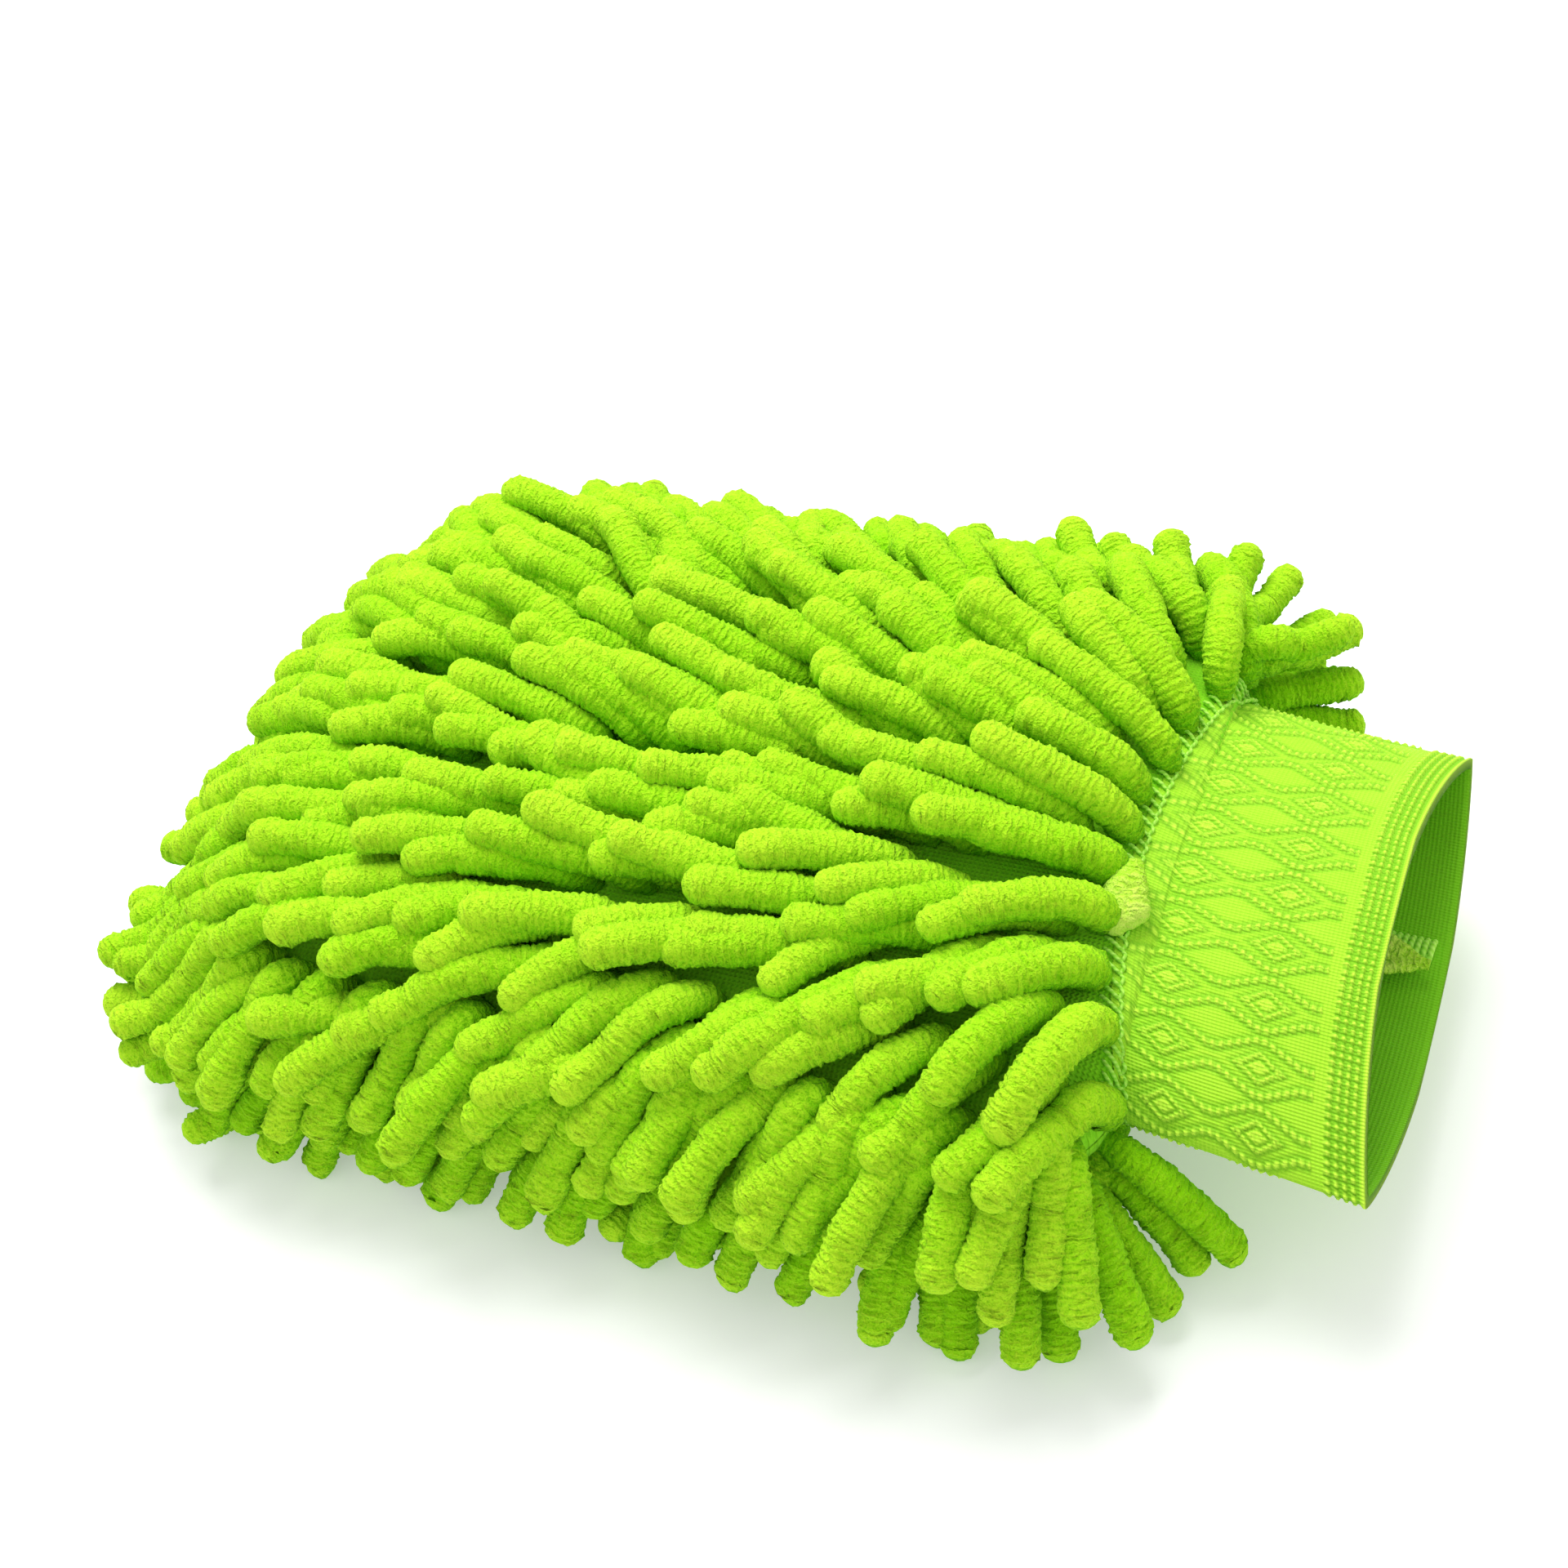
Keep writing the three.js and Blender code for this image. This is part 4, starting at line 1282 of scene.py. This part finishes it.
def thick_tube_quads(outer_rows, inner_rows, columns):
    """Quads of an outer grid, of an inner grid and of the rims between them."""
    inner = outer_rows * columns
    last = inner + (inner_rows - 1) * columns
    here = np.arange(columns)
    after = (here + 1) % columns
    rims = []
    for first, second in ((0, inner), (inner - columns, last)):
        rims.append(np.stack([first + here, first + after, second + after, second + here], axis=-1))
    return np.concatenate([tube_quads(outer_rows, columns), tube_quads(inner_rows, columns, inner), *rims])


def turn_out(piece):
    """Points every face of a closed piece outwards."""
    shape = bmesh.new()
    shape.from_mesh(piece.data)
    bmesh.ops.recalc_face_normals(shape, faces=shape.faces)
    shape.to_mesh(piece.data)
    shape.free()


print("a thick tube of 2 and 2 rings with 8 columns has", len(thick_tube_quads(2, 2, 8)), "quads")

# %% Assemble the cuff
CUFF_ROWS = 124
CUFF_COLUMNS = 560
LINING_ROWS = 42
SHEET_SHARE = 0.74  # how much of the sheet for baking the outside takes
RIM_SHARE = 0.01
SHEET_EDGE = 0.005


def cuff_layouts(girth):
    """The weave's own coordinates in millimetres, and the sheet for baking."""
    weave, bake = [], []
    rims_start = 1 - 2 * RIM_SHARE
    parts = ((CUFF_ROWS, 0, SHEET_SHARE), (LINING_ROWS, SHEET_SHARE, rims_start - SHEET_SHARE),
             (2, rims_start, RIM_SHARE), (2, rims_start + RIM_SHARE, RIM_SHARE))
    for rows, start, share in parts:
        row, column = tube_corners(rows, CUFF_COLUMNS)
        along = row / (rows - 1)
        around = column / CUFF_COLUMNS
        weave.append(np.stack([along * CUFF_LENGTH / MM, around * girth / MM], axis=1))
        across = SHEET_EDGE + (1 - 2 * SHEET_EDGE) * around
        bake.append(np.stack([across, start + share * (0.01 + 0.98 * along)], axis=1))
    return np.concatenate(weave), np.concatenate(bake)


def cuff_piece():
    outer, raised, groove = cuff_grid(0, RELIEF, CUFF_ROWS, CUFF_COLUMNS)
    inner, _, _ = cuff_grid(ELASTIC_THICKNESS, 0, LINING_ROWS, CUFF_COLUMNS)
    points = np.concatenate([outer.reshape(-1, 3), inner.reshape(-1, 3)])
    quads = thick_tube_quads(CUFF_ROWS, LINING_ROWS, CUFF_COLUMNS)
    piece = mesh_piece("elastic_cuff", points, quads, elastic, ["cuff_band"], "elastic_knit")
    weave, bake = cuff_layouts(even_section(1, 0, CUFF_COLUMNS)[1])
    keep_layout(piece, "weave", weave)
    keep_layout(piece, "OFBake", bake)
    plain = np.zeros(inner.size // 3)
    keep_number(piece, "raised", np.concatenate([raised.ravel(), plain]))
    keep_number(piece, "groove", np.concatenate([groove.ravel(), plain]))
    # the inside number marks where the finish paints shade
    keep_number(piece, "inside", np.concatenate([np.zeros(raised.size), plain + 1]))
    turn_out(piece)
    return piece


cuff = cuff_piece()
print("cuff:", CUFF_ROWS, "by", CUFF_COLUMNS, "points outside")

# %% [markdown]
# ## Sewing thread
#
# Sewing thread is a tube too, only much finer than a noodle. One function turns many paths
# into one piece. The thread is paler than the cloth, because its fibres are smooth and lie
# side by side, and its twist shows as slanting bands, which the finish draws from the way
# around and the way along.

# %% Make the thread finish
PLY_LENGTH = 1.1  # one turn of the twist, in millimetres
THREAD_MOTTLE = 900
TWIST_DEPTH = 0.08 * MM


def thread_finish(name, dark, light):
    finish = Finish(name)
    yarn = finish.layout("yarn")
    around = finish.part(yarn, "X")
    along = finish.part(yarn, "Y")
    twist = ((around + along / PLY_LENGTH) * (2 * math.pi)).sine()
    mottle = finish.noise(finish.place(), THREAD_MOTTLE, 2)
    shade = (0.5 + twist * 0.28 + (mottle - 0.5) * 0.7).clamped()
    finish.surface(Base_Color=finish.blend(shade, dark, light), Roughness=0.75)
    finish.surface(Normal=finish.bump(twist, TWIST_DEPTH), Sheen_Weight=0.3, Sheen_Roughness=0.4)
    finish.surface(Sheen_Tint=SHEEN_GREEN, Specular_IOR_Level=0.3)
    return finish.material


thread = thread_finish("sewing_thread", dark=(0.30, 0.78, 0.02, 1), light=(0.60, 1.0, 0.16, 1))
print("finish:", thread.name, "with", len(thread.node_tree.nodes), "nodes")

# %% Turn paths into thread
THREAD_SIDES = 8
THREAD_MARGIN = 0.05
END_THICKNESS = 0.35


def fine_tube(path, radius):
    """Points of a fine tube that tapers at both ends, and how far along each ring is."""
    even = distance_along(path)
    ends = np.clip(np.minimum(even, even[-1] - even) / (1.5 * radius) + END_THICKNESS, 0, 1)
    points = path[:, None] + spokes(path, THREAD_SIDES) * (radius * ends)[:, None, None]
    return points.reshape(-1, 3), even


def thread_piece(name, paths, radius, nodes):
    """Joins the tubes along many paths into one piece."""
    tubes = [fine_tube(np.asarray(path), radius) for path in paths]
    return tubes_piece(name, tubes, THREAD_SIDES, girth=1, margin=THREAD_MARGIN, material=thread,
                       nodes=nodes, slot="sewing_thread")


print("thread:", THREAD_SIDES, "sides")

# %% [markdown]
# ## The stitches on the cuff seam
#
# An overlock machine sews the cuff to the bag. Outside, its thread shows as slanting stitches
# that step around the neck, with a second thread that runs along beside them. `neck_point`
# finds a place by its share of the way around, and the stitches are paths over such places.

# %% Find places around the neck
neck_section = even_section(0, 0, CURVE_POINTS)[0]


def neck_point(share, out, along):
    """A place around the neck, a distance out of the elastic."""
    place = (share % 1) * len(neck_section)
    low = int(place) % len(neck_section)
    high = (low + 1) % len(neck_section)
    part = place - int(place)
    y, z = neck_section[low] * (1 - part) + neck_section[high] * part
    normal = np.array([y / NECK_HALF_WIDTH**2, z / NECK_HALF_HEIGHT**2])
    normal /= np.linalg.norm(normal)
    x = seam_x + along - neck_bow(y, z)
    side = y + normal[0] * out
    return np.array([x, side, mid_z + laid_on_bag(x, side, z + normal[1] * out, ELASTIC_LIFT + out)])


print("top of the seam:", [round(float(v) / MM, 1) for v in neck_point(0.25, 0, 0)], "mm")

# %% Sew the cuff seam
STITCH_COUNT = 92
STITCH_POINTS = 9
WAVE_POINTS = 6
THREAD_RADIUS = 0.34 * MM
STITCH_SLANT = 0.9  # how far around one stitch runs, in shares of its step
STITCH_START = -1.9  # along the cuff, in millimetres
STITCH_WIDTH = 3.6
STITCH_LOW = 0.15 * MM
STITCH_ARCH = 0.75 * MM
RUNNING_PLACE = 1.9 * MM
RUNNING_LOW = 0.3 * MM
RUNNING_RISE = 0.25 * MM
RUNNING_SWING = 0.3 * MM


def slanting_stitch(index):
    """One stitch: up out of the cloth, over at a slant, and down again."""
    path = []
    for t in np.linspace(0, 1, STITCH_POINTS):
        out = STITCH_LOW + STITCH_ARCH * math.sin(math.pi * t)
        share = (index + STITCH_SLANT * t) / STITCH_COUNT
        path.append(neck_point(share, out, (STITCH_START + STITCH_WIDTH * t) * MM))
    return path


def running_thread():
    """A thread around the whole neck, with a small wave for each stitch."""
    path = []
    for t in np.linspace(0, 0.999, STITCH_COUNT * WAVE_POINTS):
        wave = math.sin(2 * math.pi * t * STITCH_COUNT)
        path.append(neck_point(t, RUNNING_LOW + RUNNING_RISE * wave, RUNNING_PLACE + RUNNING_SWING * wave))
    return path


stitches = [slanting_stitch(i) for i in range(STITCH_COUNT)]
stitches.append(running_thread())
thread_piece("cuff_seam_stitches", stitches, THREAD_RADIUS, ["cuff_topstitch"])
print("cuff seam:", STITCH_COUNT, "stitches")

# %% [markdown]
# ## The seams inside
#
# Inside the bag the edges of the cloth are turned in and overlocked. The edge seam runs round
# the bag between the two panels, and a second ring holds the cuff. Cut edges are never
# straight, so each strip waves a little, and its thickness rounds off at both edges.

# %% Turn in the edges
STRIP_START = 0.05  # share of the outline that stays free at each end
STRIP_ROWS = 10
EDGE_INSET = 2 * MM
EDGE_WIDTH = 7 * MM
EDGE_HALF_THICKNESS = 0.7 * MM
RING_DEPTH = 2 * MM  # how far inside the elastic the ring lies
RING_INSET = 0.3 * MM
RING_WIDTH = 7.2 * MM
RING_HALF_THICKNESS = 0.65 * MM
RING_ROWS = 12
RING_COLUMNS = 360


def waved(values, size, length, seed):
    return size * np.sin(values / length + seed) * np.cos(values / (length * 1.7) + 2 * seed)


def rounded_thickness(share, half):
    """Half the thickness of a strip, at a share of the way across it."""
    return half * math.sqrt(max(1 - (2 * share - 1) ** 8, 0.05))


def edge_strip():
    """The turned edge that follows the outline inside the bag."""
    start = int(STRIP_START * OUTLINE_POINTS)
    spine = outline[start:-start]
    out = outline_out[start:-start]
    even = np.arange(len(spine)) * outline_length / OUTLINE_POINTS
    top, bottom = [], []
    for share in np.linspace(0, 1, STRIP_ROWS):
        inset = EDGE_INSET + share * (EDGE_WIDTH + waved(even, 0.5 * MM, 6 * MM, 1.0))
        place = spine - out * inset[:, None]
        ripple = waved(even, 0.5 * MM, 4 * MM, 2.0) * share
        thick = rounded_thickness(share, EDGE_HALF_THICKNESS)
        top.append(np.column_stack([place, mid_z + ripple + thick]))
        bottom.append(np.column_stack([place, mid_z + ripple - thick]))
    return shell_of(np.array(top), np.array(bottom))


def joining_ring():
    """The turned edge of bag and cuff, a ring just inside the neck."""
    outer, inner = [], []
    section, girth = even_section(0, RING_DEPTH, RING_COLUMNS)
    even = np.arange(RING_COLUMNS) / RING_COLUMNS * girth
    for share in np.linspace(0, 1, RING_ROWS):
        ripple = waved(even, 0.35 * MM, 3 * MM, 0.5) * share
        thick = rounded_thickness(share, RING_HALF_THICKNESS)
        x = seam_x - RING_INSET - share * (RING_WIDTH + waved(even, 0.4 * MM, 5 * MM, 3.0))
        for grid, gap in ((outer, -ripple), (inner, -ripple - 2 * thick)):
            scale = 1 + gap / np.hypot(section[:, 0], section[:, 1])
            grid.append(np.column_stack([x, section * scale[:, None] + [0, mid_z]]))
    points = np.concatenate([np.array(outer).reshape(-1, 3), np.array(inner).reshape(-1, 3)])
    return points, thick_tube_quads(RING_ROWS, RING_ROWS, RING_COLUMNS)


strip = mesh_piece("turned_edge", *edge_strip(), backing, ["edge_seam"], "backing_cloth")
turn_out(strip)
ring = mesh_piece("cuff_turned_edge", *joining_ring(), backing, ["cuff_joining_seam"], "backing_cloth")
turn_out(ring)
print("seams inside:", strip.name, "and", ring.name)

# %% [markdown]
# ## The ridge that closes the elastic
#
# Elastic comes off a roll, and a seam closes each cut length into a tube. Its two edges stand
# up inside the cuff as a ridge: here a few cords side by side, with overlock thread wrapped
# over them. The ridge follows the floor of the cuff, which a section of the cuff gives.

# %% Close the elastic with its ridge
RIDGE_WRAPS = 34
WRAP_POINTS = 12
CORD_POINTS = 60
RIDGE_RADIUS = 0.55 * MM
WRAP_LOW = 0.3  # heights over the elastic, in millimetres
WRAP_ARCH = 1.6
CORD_LOW = 0.8
CORD_CROWN = 0.5
CORD_PLACES = (-0.6, -0.2, 0.2, 0.6)  # across the ridge, in shares of its half width

ridge_low, ridge_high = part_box("cuff_closing_seam")
ridge_y = (ridge_low.y + ridge_high.y) / 2
ridge_half = (ridge_high.y - ridge_low.y) / 2


def cuff_floor(x):
    """Height of the cuff's lower inside face at the ridge."""
    share = min(max((x - seam_x) / (CUFF_LENGTH + HEM_LEAN / 2), 0), 1)
    section = even_section(share, ELASTIC_THICKNESS, CURVE_POINTS)[0]
    lower = section[section[:, 1] < 0]
    order = np.argsort(lower[:, 0])
    return mid_z + float(np.interp(ridge_y, lower[order, 0], lower[order, 1]))


def wrapping_thread(index):
    """The overlock thread that wraps the two cut edges of the elastic."""
    path = []
    for t in np.linspace(0, 1, WRAP_POINTS):
        x = ridge_low.x + (index + 0.5 + 0.5 * t) / RIDGE_WRAPS * (ridge_high.x - ridge_low.x)
        angle = math.pi * t
        y = ridge_y - ridge_half * math.cos(angle)
        path.append([x, y, cuff_floor(x) + (WRAP_LOW + WRAP_ARCH * math.sin(angle)) * MM])
    return path


def ridge_cord(place):
    """One of the folded edges under the wrapping."""
    height = (CORD_LOW + CORD_CROWN * (1 - abs(place))) * MM
    run = np.linspace(ridge_low.x, ridge_high.x, CORD_POINTS)
    return [[x, ridge_y + place * ridge_half, cuff_floor(x) + height] for x in run]


wraps = [wrapping_thread(i) for i in range(RIDGE_WRAPS)]
cords = [ridge_cord(place) for place in CORD_PLACES]
thread_piece("cuff_closing_ridge", wraps + cords, RIDGE_RADIUS, ["cuff_closing_seam"])
print("ridge:", RIDGE_WRAPS, "wraps over", len(cords), "cords")

# %% [markdown]
# ## Loose ends
#
# Two ends of yarn were never trimmed. One is a soft pale tuft on the cuff seam outside, which
# hangs along the seam. The other is the frayed end of the closing seam, just inside the hem.
# Both are made like noodles, only shorter, finer and of a paler yarn, as a few strands that
# spread from one root.

# %% Spread the loose ends
STRAND_POINTS = 30
SPREAD_POWER = 1.3
STRAND_TONE = 0.4
STRAND_LENGTH_RANGE = (0.8, 1.05)
STRAND_THICKNESS_RANGE = (0.85, 1.1)
TUFT_ROOT_BACK = 6 * MM
TUFT_ROOT_DEPTH = 1.5 * MM
pale_yarn = chenille_finish("pale_yarn", (0.32, 0.74, 0.01, 1), (0.54, 0.94, 0.045, 1), (0.76, 1.0, 0.16, 1))


def strand(root, heading, spread, sag, length, radius):
    """A short strand from a root, turned sideways by its spread, that sags along the way."""
    run = np.linspace(0, 1, STRAND_POINTS)[:, None]
    heading = np.array(heading, float)
    sideways = np.array([-heading[1], heading[0], 0]) * spread
    path = np.array(root) + length * (heading * run + sideways * run**SPREAD_POWER)
    path[:, 2] -= sag * run[:, 0] ** 2
    return path, length, radius, STRAND_TONE


def loose_end(name, node, root, heading, spreads, sag, length, radius):
    strands = []
    for spread in spreads:
        reach = length * dice.uniform(*STRAND_LENGTH_RANGE)
        thickness = radius * dice.uniform(*STRAND_THICKNESS_RANGE)
        strands.append(strand(root, heading, spread, sag, reach, thickness))
    noodle_piece(name, strands, node, pale_yarn, "sewing_thread")
    print(name + ":", len(strands), "strands")


tuft_low, tuft_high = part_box("seam_end_tuft")
tuft_root = ((tuft_low.x + tuft_high.x) / 2 - TUFT_ROOT_BACK, tuft_high.y, tuft_high.z - TUFT_ROOT_DEPTH)
loose_end("seam_tuft", "seam_end_tuft", tuft_root, heading=(0, -1, 0), spreads=(-0.22, -0.05, 0.12, 0.25),
          sag=3 * MM, length=14.5 * MM, radius=2.7 * MM)
tail_low, tail_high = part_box("closing_seam_tail")
tail_root = (tail_high.x, (tail_low.y + tail_high.y) / 2, (tail_low.z + tail_high.z) / 2)
loose_end("frayed_tail", "closing_seam_tail", tail_root, heading=(-1, 0, 0), spreads=(-0.5, -0.2, 0.1, 0.4),
          sag=-1 * MM, length=11 * MM, radius=1.4 * MM)

# %% [markdown]
# ## Floor and light
#
# The mitt lies on a plain pale floor under soft light from above. The world is the soft box
# all round; one large lamp from the far left gives the noodles a bright side, so that their
# rounding reads. The floor glows a little, which keeps it near white under the mitt's shadow.

# %% Set the floor
FLOOR_SIZE = 6.0
FLOOR_GLOW = 0.30
FLOOR_GREYS = ((0.78, 0.78, 0.78, 1), (0.80, 0.80, 0.80, 1))


def pale_floor():
    finish = Finish("pale_floor")
    mottle = finish.noise(finish.place(), 3, 1)
    finish.surface(Base_Color=finish.blend(mottle, *FLOOR_GREYS))
    finish.surface(Roughness=0.9, Specular_IOR_Level=0.1)
    finish.surface(Emission_Color=(1, 1, 1, 1), Emission_Strength=FLOOR_GLOW)
    half = FLOOR_SIZE / 2
    corners = [(-half, -half, 0), (half, -half, 0), (half, half, 0), (-half, half, 0)]
    mesh = bpy.data.meshes.new("floor")
    mesh.from_pydata(corners, [], [(0, 1, 2, 3)])
    mesh.materials.append(finish.material)
    placed("floor", mesh)


pale_floor()
print("floor:", FLOOR_SIZE, "m wide")

# %% Light the scene
WORLD_STRENGTH = 0.76
LAMP_POWER = 9.0
LAMP_SIZE = 0.6
LAMP_PLACE = Vector((-0.25, 0.38, 0.85))

world = bpy.data.worlds.new("soft_box")
world.use_nodes = True
background = world.node_tree.nodes["Background"]
background.inputs["Color"].default_value = (1, 1, 1, 1)
background.inputs["Strength"].default_value = WORLD_STRENGTH
bpy.context.scene.world = world

lamp = bpy.data.lights.new("key", "AREA")
lamp.shape = "SQUARE"
lamp.size = LAMP_SIZE
lamp.energy = LAMP_POWER
holder = placed("key", lamp)
holder.location = LAMP_PLACE
holder.rotation_euler = (-LAMP_PLACE).to_track_quat("-Z", "Y").to_euler()
bpy.context.scene.view_settings.view_transform = "Standard"
print("light:", LAMP_POWER, "W lamp and a world of strength", WORLD_STRENGTH)

# %% [markdown]
# ## The camera
#
# The camera looks down on the mitt from the cuff's side and is rolled a little. Its matrix is
# built from three directions square to each other, back, right and up, which is easier to
# follow than three angles turned one after the other.

# %% Place the camera
VIEW_AZIMUTH = math.radians(30.3)
VIEW_ELEVATION = math.radians(46.8)
VIEW_ROLL = math.radians(-13.1)
VIEW_DISTANCE = 0.453
VIEW_TARGET = Vector((-0.0049, 0.0074, 0.035))
VIEW_LENS = 52.8
SENSOR_WIDTH = 36

back = Vector((
    math.sin(VIEW_AZIMUTH) * math.cos(VIEW_ELEVATION),
    -math.cos(VIEW_AZIMUTH) * math.cos(VIEW_ELEVATION),
    math.sin(VIEW_ELEVATION),
))
right = Vector((math.cos(VIEW_AZIMUTH), math.sin(VIEW_AZIMUTH), 0))
up = back.cross(right)
rolled_right = math.cos(VIEW_ROLL) * right + math.sin(VIEW_ROLL) * up
rolled_up = back.cross(rolled_right)
lens = bpy.data.cameras.new("camera")
lens.lens = VIEW_LENS
lens.sensor_width = SENSOR_WIDTH
camera = placed("camera", lens)
turned = Matrix((rolled_right, rolled_up, back)).transposed()
camera.matrix_world = Matrix.Translation(VIEW_TARGET + back * VIEW_DISTANCE) @ turned.to_4x4()
bpy.context.scene.camera = camera
print("camera:", round(VIEW_DISTANCE / MM), "mm from the mitt")
